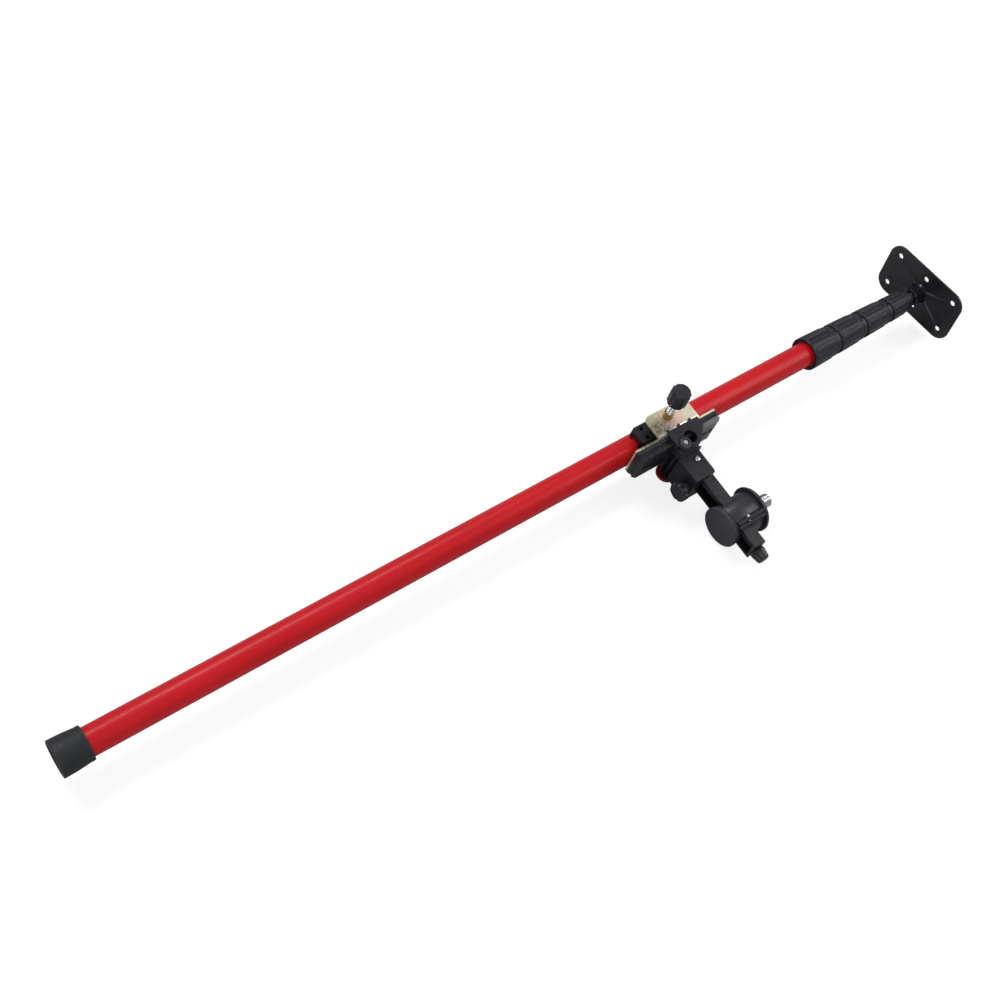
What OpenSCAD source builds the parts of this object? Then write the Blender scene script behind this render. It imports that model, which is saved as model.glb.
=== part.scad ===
// Telescopic floor-to-ceiling support pole with a clamp-on slide bracket.
// The pole lies along +X, from the middle of its foot at the origin to its head
// plate. +Z is up, and the bracket's arm reaches towards -Y.

/* [Tubes] */
// Outer diameter of the largest tube
tube_od = 30; // [28:0.5:32]
// How much smaller each tube is than the one around it
tube_step = 3.2; // [3:0.1:3.4]
// Wall of every tube
tube_wall = 1; // [0.8:0.05:1.1]
// Length of the largest tube
tube_len = 984; // [900:1:1100]
// Radial clearance of a piece that slides or turns in another
slide_gap = 0.1; // [0.06:0.01:0.15]
// Length of a guide plug's rim, which runs in the tube around it
plug_rim = 8; // [6:0.5:12]
// Length of a guide plug's spigot inside its own tube
plug_spigot = 12; // [8:0.5:16]
// Air between one tube's plug and the next
plug_air = 2; // [1:0.5:4]

/* [Foot cap] */
// Length of the rubber cap
cap_len = 32; // [26:1:40]
// Thickness of the sole under the tube
cap_sole = 6; // [4:0.5:8]
// Wall of the cap at its rim
cap_rim_wall = 2.7; // [2:0.1:3.5]
// Wall of the cap at its sole
cap_foot_wall = 4.5; // [3.8:0.1:6]
// Rounding of the cap's lower edge
cap_round = 2; // [1:0.25:3]
// Depth of the two rings in the sole
cap_ring_depth = 1; // [0.5:0.25:1.5]

/* [Twist locks] */
// Length of each large collar
collar_len = 42.5; // [38:0.5:48]
// Length of the last collar
last_collar_len = 32.5; // [28:0.5:38]
// Collar wall over its tube at the foot end
collar_big_wall = 5.6; // [5.2:0.1:6]
// Collar wall over its tube at the head end
collar_small_wall = 4.5; // [4.4:0.1:4.8]
// Height of the grip pads
pad_h = 1; // [0.6:0.1:1.1]
// Width of a grip pad in degrees
pad_angle = 14; // [10:1:20]
// Number of grip pads on a collar
pad_count = 12; // [8:1:15]
// Wall of the split sleeve inside a collar
collet_wall = 2; // [1.6:0.1:2.3]
// Length of the sleeve's nose between two collars
nose_len = 4.6; // [4:0.2:6]
// How far a tube reaches into its collar
collar_cover = 33; // [28:0.5:36]

/* [Head] */
// Long side of the head plate
plate_long = 122; // [110:1:140]
// Short side of the head plate
plate_short = 75; // [68:1:90]
// Corner radius of the head plate
plate_corner = 18; // [12:1:24]
// Thickness of the head plate
plate_t = 2.5; // [2:0.25:4]
// Spacing of the corner holes along the long side
hole_long = 91; // [80:1:94]
// Spacing of the holes along the short side
hole_short = 47; // [42:1:48]
// Diameter of the screw holes
hole_d = 7; // [5:0.5:8]
// Diameter of the swivel ball
ball_d = 16; // [14:0.5:17]
// Diameter of the stem that carries the ball
ball_stem_d = 7; // [6:0.5:7]
// Length of the tube end that shows past the last collar
neck_len = 5; // [4.8:0.2:8]

/* [Clamp] */
// Middle of the bracket along the pole
bracket_x = 720; // [300:1:780]
// Turn of the bracket about the pole
bracket_turn = 7; // [-20:1:20]
// Thickness of the clamp's steel
steel_t = 2.5; // [2:0.25:3]
// Gap between the pole and the steel back
steel_gap = 2; // [1.5:0.25:3]
// Length of the clamp's flanges along the pole
flange_len = 60; // [50:1:66]
// Offset of the flanges from the bracket's middle
flange_shift = 4; // [0:1:8]
// Reach of the flanges past the pole's axis
flange_reach = 10.5; // [9:0.5:14]
// Rise of the upper flange above the guide bar
flange_rise = 3; // [2.5:0.5:6]
// Thickness of the saddle pad under the pole
saddle_t = 3.5; // [2.5:0.25:5]
// Length of the pressure block
block_len = 80; // [70:1:90]
// Width of the pressure block
block_w = 24; // [22:0.5:26]
// Rise of the pressure block above the pole
block_rise = 11; // [9:0.5:14]
// Depth that the pressure block grips the pole
block_grip = 4.5; // [3:0.25:4.5]
// Diameter of the clamp screw
clamp_screw_d = 8; // [6:0.5:9]
// Diameter of the clamp knob
clamp_knob_d = 23; // [20:0.5:28]
// Height of the clamp knob
clamp_knob_h = 23; // [18:1:28]
// Length of screw between flange and knob
clamp_screw_show = 28; // [20:1:32]

/* [Guide bar] */
// Length of the guide bar
bar_len = 115; // [105:1:125]
// Height of the guide bar
bar_h = 41; // [38:1:46]
// Depth of the guide bar
bar_d = 12.5; // [12:0.5:14]
// How far the bar's lower edge lies below the pole's axis
bar_drop = 3; // [1:0.5:5]

/* [Fine adjuster] */
// Width of the slide body round the bar
body_w = 44; // [42:1:48]
// Offset of the slide body from the bracket's middle
body_shift = 8; // [6:1:10]
// Thickness of the slide body's lips over the bar
lip_t = 4.75; // [4:0.25:6]
// Tooth size of rack and pinion
tooth_module = 0.75; // [0.7:0.05:0.8]
// Number of teeth on the pinion
pinion_teeth = 17; // [17:1:18]
// Diameter of the knurled wheel
wheel_d = 15; // [13:0.5:15.5]
// Height of the knurled wheel
wheel_h = 6; // [5:0.5:8]
// Diameter of the red wheel below
red_wheel_d = 25; // [20:0.5:28]
// Thickness of the red wheel
red_wheel_h = 4; // [3:0.5:6]
// Diameter of the shaft that joins them
shaft_d = 5; // [4:0.25:6]

/* [Rail] */
// How far the rail runs on past the middle of the turning head
rail_tail = 42.5; // [40:0.5:60]
// Width of the rail along the pole
rail_w = 15; // [14:0.5:16]
// Height of the rail
rail_h = 26; // [24:0.5:28]
// Thickness of the rail's two flanges
rail_flange = 3; // [2.5:0.25:3.5]
// Thickness of the rail's web
rail_web = 3; // [3:0.25:3.5]
// Diameter of the lead screw
lead_d = 7; // [6:0.5:7]
// Diameter of the knob at the rail's end
end_knob_d = 18; // [16:0.5:22]
// Length of the knob at the rail's end
end_knob_len = 14; // [10:1:18]
// Length of the carriage that holds the rail
carriage_len = 31; // [29:0.5:33]
// Diameter of the rail's lock knob
lock_knob_d = 24; // [20:0.5:26]
// Length of the rail's lock knob
lock_knob_len = 11; // [8:0.5:13]

/* [Turning head] */
// Distance of the stud from the pole's axis
head_reach = 129; // [124:1:132]
// Diameter of the head's housing
housing_d = 46; // [44:0.5:50]
// Length of the head's housing along the pole
housing_len = 40; // [38:0.5:46]
// Diameter of the head's lock knob
disc_d = 48; // [42:0.5:52]
// Thickness of the head's lock knob
disc_t = 5; // [4:0.5:7]
// Diameter of the turning platform
platform_d = 54; // [50:0.5:58]
// Thickness of the turning platform
platform_t = 3.5; // [3:0.25:5]
// Diameter of the threaded stud, a 5/8 inch tripod thread
stud_d = 15.875; // [15.875]
// Length of the threaded stud
stud_len = 25; // [18:1:32]

/* [Hidden] */
$fn = 48;

// How far a cut runs past the face that it opens
over = 1;
// Clearance of a piece that is fixed in its seat
seat_gap = 0.02;
// Running clearance round shafts and spindles
run_gap = 0.05;
// Gap between sliding bodies of the bracket
glide_gap = 0.3;
// Least edge break on small knobs and screws
edge_break = 1;

// Colours
red_paint = "#c8252d";
black_plastic = "#2c2c30";
black_rubber = "#1e1e20";
black_paint = "#26262a";
zinc_yellow = "#d8c48e";
bright_steel = "#c9ccd0";
pale_nylon = "#e4e2da";
brass = "#b8963c";
red_plastic = "#a01818";

// Tubes, counted from 0 for the largest
tube_count = 5;
last_tube = tube_count - 1;
function tube_r(i) = (tube_od - i * tube_step) / 2;
function bore_r(i) = tube_r(i) - tube_wall;
function collar_x(i) = cap_sole + tube_len - collar_cover + i * (collar_len + collar_gap + nose_len);
function this_collar_len(i) = i == last_tube - 1 ? last_collar_len : collar_len;
function collar_end(i) = collar_x(i) + this_collar_len(i);
function tube_start(i) = i == 0 ? cap_sole
    : cap_sole + plug_air + plug_rim + (i - 1) * (plug_spigot + plug_air + plug_rim);
function tube_end(i) = i == last_tube ? collar_end(last_tube - 1) + neck_len
    : collar_x(i) + this_collar_len(i) - (collar_len - collar_cover);
collar_gap = 0.4;
collet_stop = 3;
collet_setback = 3;
collet_slit_w = 1.6;
collet_slits = 4;
nose_rise = 0.6;
mouth_depth = 2;

// Foot cap
cap_foot_r = tube_r(0) + cap_foot_wall;
cap_rim_r = tube_r(0) + cap_rim_wall;
sole_rings_share = [0.45, 0.72];
sole_ring_w = 1.6;

// Head: ball, socket and plate
ball_r = ball_d / 2;
ball_neck = 4;
ball_flange = 2;
ball_spigot = 20;
ball_x = tube_end(last_tube) + ball_flange + ball_neck + ball_r;
socket_wall = 3;
socket_r = ball_r + slide_gap + socket_wall;
tilt_limit = 20;
tilt_spare = 4;
socket_mouth = (ball_r + slide_gap)
    * cos(asin(ball_stem_d / 2 / (ball_r + slide_gap)) + tilt_limit + tilt_spare);
socket_slits = 8;
socket_slit_w = 1.4;
socket_slit_depth = 8;
socket_back = 4;
socket_flange_r = 12.5;
socket_flange_t = 2;
socket_shank_r = 4;
plate_x = ball_x + ball_r + socket_back;
rib_big_r = 5;
rib_small_r = 2;
rib_start = 9;
boss_lip = 1.5;

// Clamp steel: s is the distance from the pole's axis towards the arm, t the
// height above it, u the place along the pole from the bracket's middle
steel_s0 = tube_r(0) + steel_gap;
steel_s1 = steel_s0 + steel_t;
bar_t0 = -bar_drop;
bar_t1 = bar_t0 + bar_h;
bar_s0 = steel_s1;
bar_s1 = bar_s0 + bar_d;
flange_t1 = bar_t1 + flange_rise;
flange_t0 = flange_t1 - steel_t;
lower_t1 = -tube_r(0) - saddle_t;
lower_t0 = lower_t1 - steel_t;
flange_u0 = flange_shift - flange_len / 2;
flange_u1 = flange_shift + flange_len / 2;
flange_corner = 8;
clamp_u = 1;
nut_r = 6.5;
nut_h = 8;
saddle_grip = 5;
saddle_half = 10;
block_t0 = tube_r(0) - block_grip;
block_t1 = tube_r(0) + block_rise;
block_hole_r = 2.4;
block_hole_in = 10;
block_hole_half = 6;
block_hole_depth = 6;
block_edge = 2;
block_corner = 4;
clamp_socket = 8;
clamp_screw_r = clamp_screw_d / 2;
clamp_knob_t0 = flange_t1 + clamp_screw_show;
knob_neck_r = 8;
knob_neck_h = 2;
screw_in_knob = 15;

// Guide bar
bar_chamfer = 5;
key_groove_s0 = bar_s0 + 4.5 * edge_break;
key_groove_s1 = key_groove_s0 + 4 * edge_break;
key_groove_depth = 2.2;
rack_t0 = bar_t0 + 0.37 * bar_h;
rack_t1 = rack_t0 + 0.3 * bar_h;
rack_end = 6;
bar_groove_w = 1.6;
bar_groove_depth = 1;
bar_groove_share = [0.18, 0.26, 0.78, 0.86];
bar_screw_u = 46;
bar_screw_t = 27;
bar_screw_r = 2;
bar_screw_head_r = 3.6;
bar_screw_head_h = 1.5;
bar_screw_len = 8;

// Rack and pinion
pressure_angle = 20;
tooth_backlash = 0.25;
tooth_tip_share = 0.85;
tooth_root_share = 1.2;
pinion_pitch_r = tooth_module * pinion_teeth / 2;
pinion_tip_r = pinion_pitch_r + tooth_tip_share * tooth_module;
pinion_root_r = pinion_pitch_r - tooth_root_share * tooth_module;
pinion_base_r = pinion_pitch_r * cos(pressure_angle);
rack_pitch = PI * tooth_module;
rack_pitch_s = bar_s1 - tooth_tip_share * tooth_module - glide_gap / 2;
rack_root_s = rack_pitch_s - tooth_root_share * tooth_module;
wheel_u = -3.5;
wheel_s = rack_pitch_s + pinion_pitch_r;
pinion_gap = 0.5;

// Slide body
body_u0 = body_shift - body_w / 2;
body_u1 = body_shift + body_w / 2;
body_t1 = bar_t1 + glide_gap + lip_t;
body_t0 = bar_t0 - glide_gap - lip_t - edge_break;
body_s0 = steel_s1 + glide_gap;
body_s1 = bar_s1 + 13;
box_w = 30.5;
box_shift = 3.75;
box_u0 = box_shift - box_w / 2;
box_u1 = box_shift + box_w / 2;
box_wall = 1.7;
box_s1 = wheel_s + pinion_tip_r + pinion_gap + box_wall;
box_t0 = -22;
box_t1 = 27;
sight_hole_r = 7.8;
sight_hole_u = 7;
sight_hole_s = bar_s1 + 1.8 * edge_break;
sight_hole_depth = 15;
body_chamfer = 16.5;
cavity_u1 = wheel_u + 7.5;
cavity_back = 1.5;
wheel_gap = 0.6;
wheel_t0 = bar_t1 + 2 * glide_gap;
wheel_t1 = wheel_t0 + wheel_h;
shaft_r = shaft_d / 2;
shaft_top = wheel_t1;
red_t1 = box_t0 - edge_break;
red_t0 = red_t1 - red_wheel_h;
ridge_h = 3;
ridge_t = 1.5;
tab_count = 3;
tab_w = 2.4;
tab_step = 16;
tab_inset = 2.4;
tab_s0 = steel_s1 - 2 * steel_t;
lip_s0 = steel_s1 - steel_t;
lip_t0 = flange_t1 + glide_gap;

// Rail and its carriage
rail_u0 = 2;
rail_u1 = rail_u0 + rail_w;
rail_mid_t = 4;
rail_t0 = rail_mid_t - rail_h / 2;
rail_t1 = rail_mid_t + rail_h / 2;
rail_gap = 0.2;
rail_s0 = box_s1 + 2;
rail_s1 = head_reach + rail_tail;
rail_end_wall = 4;
rail_in_t0 = rail_t0 + rail_flange;
rail_in_t1 = rail_t1 - rail_flange;
rail_in_u1 = rail_u1 - rail_web;
lead_r = lead_d / 2;
lead_wall = 1.5;
lead_u = rail_in_u1 - lead_r - lead_wall;
carriage_s0 = box_s1;
carriage_s1 = carriage_s0 + carriage_len;
carriage_u0 = box_u0;
carriage_u1 = box_u1;
carriage_t0 = rail_t0 - 10;
carriage_t1 = rail_t1 + 8;
carriage_chamfer = 5;
carriage_edge = 4;
lid_inset = 4.3;
lid_h = 1;
lock_s = carriage_s1 - 7;
lock_t = rail_mid_t - 4;
lock_screw_r = 3;
lock_boss_r = 6.5;
lock_boss_h = 3.5;
lock_knob_u1 = carriage_u0 - lock_boss_h - edge_break / 2;
lock_knob_u0 = lock_knob_u1 - lock_knob_len;
gib_t = 2.4;
gib_half = 6;
gib_rise = 11;
gib_u1 = rail_u0 - rail_gap;
gib_u0 = gib_u1 - gib_t;
tension_u = 8;
tension_s = carriage_s0 + 8;
tension_r = 2;
tension_head_r = 3.4;
tension_head_h = 2;
carriage_screw_u = carriage_u1 - 6;
carriage_screw_r = 1.5;
carriage_screw_head_r = 2.8;
carriage_screw_t = [carriage_t0 + 4, carriage_t1 - 4];
carriage_screw_head_h = 2.2;
carriage_screw_bite = 6;

// Turning head
housing_u0 = -3;
housing_u1 = housing_u0 + housing_len;
housing_r = housing_d / 2;
passage_gap = 0.3;
nut_half = 8;
nut_inset = 0.3;
disc_u1 = housing_u0 - edge_break / 2;
disc_u0 = disc_u1 - disc_t;
disc_r = disc_d / 2;
disc_scallops = 60;
disc_scallop_r = 0.6;
disc_rim = 1.5;
disc_dish = 0.6;
head_lock_r = 4;
platform_u0 = housing_u1 + glide_gap;
platform_u1 = platform_u0 + platform_t;
platform_r = platform_d / 2;
platform_lip = 1.2;
hub_r = 12;
hub_len = 15;
hub_end_gap = 1;
stud_r = stud_d / 2;
stud_chamfer = 1.5;
stud_foot_r = 6;
stud_foot_len = 12;
ear_angle = 57;
ear_h = 4;
ear_w = 4;
ear_slit = 1;
ear_len_share = 0.95;
pinch_u = 15;
pinch_out_share = 0.6;
pinch_r = 1.5;
pinch_head_r = 2.4;
pinch_head_h = 1.8;

// Cylinder along the pole
module rod_x(x0, x1, r) {
    translate([x0, 0, 0]) rotate([0, 90, 0]) cylinder(h = x1 - x0, r = r);
}

// Solid turned about the pole's axis from points of radius and place
module spun_x(points) {
    rotate([0, 90, 0]) rotate_extrude() polygon(points);
}

// Part of such a solid, one pad wide
module pad_x(points, angle) {
    rotate([0, 90, 0]) rotate([0, 0, -angle / 2]) rotate_extrude(angle = angle) polygon(points);
}

// Things placed in the bracket's own frame
module on_bracket() {
    translate([bracket_x, 0, 0]) rotate([bracket_turn, 0, 0]) children();
}

// Box between pairs of places along u, s and t
module block(u, s, t) {
    translate([u[0], -s[1], t[0]]) cube([u[1] - u[0], s[1] - s[0], t[1] - t[0]]);
}

// Cylinder along t
module post(u, s, t, r) {
    translate([u, -s, t[0]]) cylinder(h = t[1] - t[0], r = r);
}

// Cylinder along u
module axle(u, s, t, r) {
    translate([u[0], -s, t]) rotate([0, 90, 0]) cylinder(h = u[1] - u[0], r = r);
}

// Cylinder along s
module spindle(u, s, t, r) {
    translate([u, -s[0], t]) rotate([90, 0, 0]) cylinder(h = s[1] - s[0], r = r);
}

// Knob with flutes: an outline turned about z, less a ring of cylinders
module fluted(points, flutes, flute_r, ring_r, h) {
    difference() {
        rotate_extrude() polygon(points);
        for (i = [0 : flutes - 1])
            rotate([0, 0, i * 360 / flutes])
                translate([ring_r, 0, -over])
                    cylinder(h = h + 2 * over, r = flute_r, $fn = 24);
    }
}

module foot_cap() {
    color(black_rubber)
        difference() {
            spun_x([
                [0, 0],
                [cap_foot_r - cap_round, 0],
                [cap_foot_r, cap_round],
                [cap_rim_r, cap_len - edge_break],
                [cap_rim_r - edge_break, cap_len],
                [0, cap_len]
            ]);
            rod_x(cap_sole, cap_len + over, tube_r(0) + seat_gap);
            for (share = sole_rings_share)
                difference() {
                    rod_x(-over, cap_ring_depth, share * cap_foot_r + sole_ring_w / 2);
                    rod_x(-2 * over, cap_ring_depth + over, share * cap_foot_r - sole_ring_w / 2);
                }
        }
}

// Tube number i, open at both ends
module tube(i) {
    color(i == 0 ? red_paint : bright_steel)
        difference() {
            rod_x(tube_start(i), tube_end(i), tube_r(i));
            rod_x(tube_start(i) - over, tube_end(i) + over, bore_r(i));
        }
}

// Guide plug in the foot end of tube i, running in the tube around it
module guide_plug(i) {
    start = tube_start(i);
    color(pale_nylon)
        difference() {
            union() {
                rod_x(start - plug_rim, start, bore_r(i - 1) - slide_gap);
                rod_x(start, start + plug_spigot, bore_r(i) - run_gap);
            }
            rod_x(start - plug_rim - over, start + plug_spigot + over, bore_r(i) / 2);
        }
}

// Split sleeve on the head end of tube i, which grips the next tube
module collet(i) {
    x0 = collar_x(i) + collet_setback;
    x1 = collar_end(i);
    x2 = x1 + nose_len;
    body_r = tube_r(i) + collet_wall;
    color(black_plastic)
        difference() {
            union() {
                rod_x(x0, x1, body_r);
                rod_x(x1, x2, body_r + nose_rise);
            }
            rod_x(x0 - over, tube_end(i), tube_r(i) + seat_gap);
            rod_x(x0, x2 + over, tube_r(i + 1) + slide_gap);
            for (k = [0 : collet_slits - 1])
                rotate([k * 360 / collet_slits, 0, 0])
                    translate([tube_end(i) + collet_stop, -collet_slit_w / 2, 0])
                        cube([x2 - tube_end(i), collet_slit_w, body_r + 2 * over]);
        }
}

// Grip collar round the sleeve of tube i
module collar(i) {
    x0 = collar_x(i);
    x1 = collar_end(i);
    big_r = tube_r(i) + collar_big_wall;
    small_r = tube_r(i) + collar_small_wall;
    bore = tube_r(i) + collet_wall + slide_gap + run_gap;
    color(black_plastic)
        difference() {
            union() {
                spun_x([
                    [0, x0],
                    [big_r - pad_h / 2, x0],
                    [big_r, x0 + edge_break],
                    [big_r - pad_h, x0 + 3 * edge_break],
                    [small_r - pad_h, x1 - 3 * edge_break],
                    [small_r - pad_h / 2, x1 - 2 * edge_break],
                    [small_r - pad_h, x1],
                    [0, x1]
                ]);
                for (k = [0 : pad_count - 1])
                    rotate([k * 360 / pad_count, 0, 0])
                        pad_x([
                            [small_r - 2 * pad_h, x0 + 2 * edge_break],
                            [big_r, x0 + 2 * edge_break],
                            [small_r, x1 - 5 * edge_break],
                            [small_r - pad_h, x1 - 4 * edge_break],
                            [small_r - 2 * pad_h, x1 - 4 * edge_break]
                        ], pad_angle);
            }
            rod_x(x0 - over, x1 + over, bore);
            spun_x([
                [0, x0 - over],
                [bore + mouth_depth + over, x0 - over],
                [bore, x0 + mouth_depth],
                [0, x0 + mouth_depth]
            ]);
        }
}

// Ball on a stem, plugged into the smallest tube
module ball_stud() {
    neck_x = tube_end(last_tube);
    color(bright_steel)
        union() {
            rod_x(neck_x - ball_spigot, neck_x, bore_r(last_tube) - seat_gap);
            rod_x(neck_x, neck_x + ball_flange, tube_r(last_tube));
            rod_x(neck_x, ball_x, ball_stem_d / 2);
            translate([ball_x, 0, 0]) rotate([0, 90, 0]) sphere(r = ball_r);
        }
}

// Fingered cup that snaps over the ball, with a shank through the head plate
module ball_socket() {
    mouth_x = ball_x - socket_mouth;
    color(black_plastic)
        difference() {
            union() {
                spun_x([
                    [0, mouth_x],
                    [socket_r - edge_break, mouth_x],
                    [socket_r, mouth_x + edge_break],
                    [socket_r, plate_x - socket_flange_t - edge_break],
                    [socket_flange_r - edge_break, plate_x - socket_flange_t],
                    [socket_flange_r, plate_x],
                    [0, plate_x]
                ]);
                rod_x(plate_x - socket_flange_t, plate_x + plate_t, socket_shank_r);
            }
            translate([ball_x, 0, 0]) rotate([0, 90, 0]) sphere(r = ball_r + slide_gap);
            for (k = [0 : socket_slits - 1])
                rotate([k * 360 / socket_slits, 0, 0])
                    translate([mouth_x - over, -socket_slit_w / 2, 0])
                        cube([socket_slit_depth + over, socket_slit_w, socket_r + over]);
        }
}

// Pressed steel head plate with six holes and four stiffening ribs
module head_plate() {
    rib_reach = norm([hole_long, hole_short]) / 2 - hole_d;
    corner_y = plate_long / 2 - plate_corner;
    corner_z = plate_short / 2 - plate_corner;
    color(black_paint)
        difference() {
            union() {
                translate([plate_x, -plate_long / 2, -corner_z])
                    cube([plate_t, plate_long, 2 * corner_z]);
                translate([plate_x, -corner_y, -plate_short / 2])
                    cube([plate_t, 2 * corner_y, plate_short]);
                for (y = [-corner_y, corner_y], z = [-corner_z, corner_z])
                    translate([0, y, z]) rod_x(plate_x, plate_x + plate_t, plate_corner);
                intersection() {
                    translate([plate_x - rib_big_r, -plate_long / 2, -plate_short / 2])
                        cube([rib_big_r + plate_t / 2, plate_long, plate_short]);
                    for (y = [-1, 1], z = [-1, 1])
                        rotate([atan2(z * hole_short, y * hole_long), 0, 0])
                            translate([plate_x + rib_small_r / 2, rib_start, 0])
                                rotate([-90, 0, 0])
                                    cylinder(h = rib_reach - rib_start, r1 = rib_big_r, r2 = rib_small_r);
                }
            }
            rod_x(plate_x - over, plate_x + plate_t + over, socket_shank_r + seat_gap);
            rod_x(plate_x - rib_big_r - over, plate_x, socket_flange_r + seat_gap);
            for (y = [-hole_long / 2, 0, hole_long / 2], z = [-hole_short / 2, hole_short / 2])
                translate([0, y, z]) rod_x(plate_x - rib_big_r - over, plate_x + plate_t + over, hole_d / 2);
        }
}

// Corner of bent sheet: a quarter ring between a flange and the back
module bend(s_mid, t_mid, side) {
    intersection() {
        difference() {
            axle([flange_u0, flange_u1], s_mid, t_mid, 2 * steel_t);
            axle([flange_u0 - over, flange_u1 + over], s_mid, t_mid, steel_t);
        }
        block([flange_u0, flange_u1], [s_mid, s_mid + 2 * steel_t],
            side > 0 ? [t_mid, t_mid + 2 * steel_t] : [t_mid - 2 * steel_t, t_mid]);
    }
}

// Flange over or under the pole, with two rounded corners
module flange(t) {
    far = -flange_reach;
    block([flange_u0, flange_u1], [far + flange_corner, steel_s1 - 2 * steel_t], t);
    block([flange_u0 + flange_corner, flange_u1 - flange_corner], [far, far + flange_corner], t);
    for (u = [flange_u0 + flange_corner, flange_u1 - flange_corner])
        post(u, far + flange_corner, t, flange_corner);
}

// Bent steel of the clamp: a wide back with a flange above and below the pole
module clamp_plate() {
    bend_s = steel_s1 - 2 * steel_t;
    color(zinc_yellow)
        on_bracket()
            difference() {
                union() {
                    block([-bar_len / 2, bar_len / 2], [steel_s0, steel_s1], [bar_t0, bar_t1]);
                    block([flange_u0, flange_u1], [steel_s0, steel_s1],
                        [lower_t0 + 2 * steel_t, flange_t1 - 2 * steel_t]);
                    bend(bend_s, flange_t1 - 2 * steel_t, 1);
                    bend(bend_s, lower_t0 + 2 * steel_t, -1);
                    flange([flange_t0, flange_t1]);
                    flange([lower_t0, lower_t1]);
                }
                post(clamp_u, 0, [flange_t0 - over, flange_t1 + over], clamp_screw_r + glide_gap);
                for (u = [-bar_screw_u, bar_screw_u])
                    spindle(u, [steel_s0 - over, steel_s1 + over], bar_screw_t, bar_screw_r + run_gap);
            }
}

module weld_nut() {
    color(zinc_yellow)
        on_bracket()
            difference() {
                translate([clamp_u, 0, flange_t1]) cylinder(h = nut_h, r = nut_r, $fn = 6);
                post(clamp_u, 0, [flange_t1 - over, flange_t1 + nut_h + over], clamp_screw_r + run_gap);
            }
}

// Pad between the lower flange and the pole
module saddle_pad() {
    color(black_rubber)
        on_bracket()
            difference() {
                block([flange_u0, flange_u1], [-saddle_half, saddle_half],
                    [lower_t1, -tube_r(0) + saddle_grip]);
                axle([flange_u0 - over, flange_u1 + over], 0, 0, tube_r(0) + slide_gap);
            }
}

// Block that the clamp screw presses onto the pole
module pressure_block() {
    u0 = flange_shift - block_len / 2;
    u1 = flange_shift + block_len / 2;
    half = block_w / 2;
    color(black_plastic)
        on_bracket()
            difference() {
                translate([u0, 0, 0])
                    rotate([90, 0, 90])
                        linear_extrude(block_len)
                            polygon([
                                [-half, block_t0],
                                [-half, block_t1 - block_edge],
                                [-half + block_edge, block_t1],
                                [half - block_edge, block_t1],
                                [half, block_t1 - block_edge],
                                [half, block_t0]
                            ]);
                axle([u0 - over, u1 + over], 0, 0, tube_r(0) + slide_gap);
                post(clamp_u, 0, [block_t1 - clamp_socket, block_t1 + over], clamp_screw_r + run_gap);
                for (u = [u0 + block_hole_in, u1 - block_hole_in], s = [-block_hole_half, block_hole_half])
                    post(u, s, [block_t1 - block_hole_depth, block_t1 + over], block_hole_r);
                for (u = [u0, u1], s = [-half, half])
                    translate([u, -s, (block_t0 + block_t1) / 2])
                        rotate([0, 0, 45])
                            cube([block_corner, block_corner, 2 * block_len], center = true);
            }
}

module clamp_screw() {
    color(bright_steel)
        on_bracket()
            translate([clamp_u, 0, block_t1 - clamp_socket])
                rotate_extrude()
                    polygon([
                        [0, 0],
                        [clamp_screw_r - edge_break, 0],
                        [clamp_screw_r, edge_break],
                        [clamp_screw_r, clamp_knob_t0 + screw_in_knob - block_t1 + clamp_socket],
                        [0, clamp_knob_t0 + screw_in_knob - block_t1 + clamp_socket]
                    ]);
}

module clamp_knob() {
    knob_r = clamp_knob_d / 2;
    color(black_plastic)
        on_bracket()
            translate([clamp_u, 0, clamp_knob_t0])
                difference() {
                    fluted([
                        [0, -knob_neck_h],
                        [knob_neck_r, -knob_neck_h],
                        [knob_neck_r, 0],
                        [knob_r - edge_break, 0],
                        [knob_r, edge_break],
                        [knob_r, clamp_knob_h - edge_break],
                        [knob_r - edge_break, clamp_knob_h],
                        [0, clamp_knob_h]
                    ], 12, clamp_knob_d / 14, clamp_knob_d / 2 + clamp_knob_d / 24, clamp_knob_h);
                    translate([0, 0, -knob_neck_h - over])
                        cylinder(h = knob_neck_h + over + screw_in_knob, r = clamp_screw_r + seat_gap);
                }
}

// Row of rack teeth along the bar, drawn from above as u and s
function rack_tooth(k) = [
    [(k - 0.25) * rack_pitch + tooth_backlash / 2 - tan(pressure_angle) * tooth_root_share * tooth_module,
        rack_root_s - edge_break],
    [(k - 0.25) * rack_pitch + tooth_backlash / 2 - tan(pressure_angle) * tooth_root_share * tooth_module,
        rack_root_s],
    [(k - 0.25) * rack_pitch + tooth_backlash / 2 + tan(pressure_angle) * tooth_tip_share * tooth_module,
        rack_pitch_s + tooth_tip_share * tooth_module],
    [(k + 0.25) * rack_pitch - tooth_backlash / 2 - tan(pressure_angle) * tooth_tip_share * tooth_module,
        rack_pitch_s + tooth_tip_share * tooth_module],
    [(k + 0.25) * rack_pitch - tooth_backlash / 2 + tan(pressure_angle) * tooth_root_share * tooth_module,
        rack_root_s],
    [(k + 0.25) * rack_pitch - tooth_backlash / 2 + tan(pressure_angle) * tooth_root_share * tooth_module,
        rack_root_s - edge_break]
];

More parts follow.
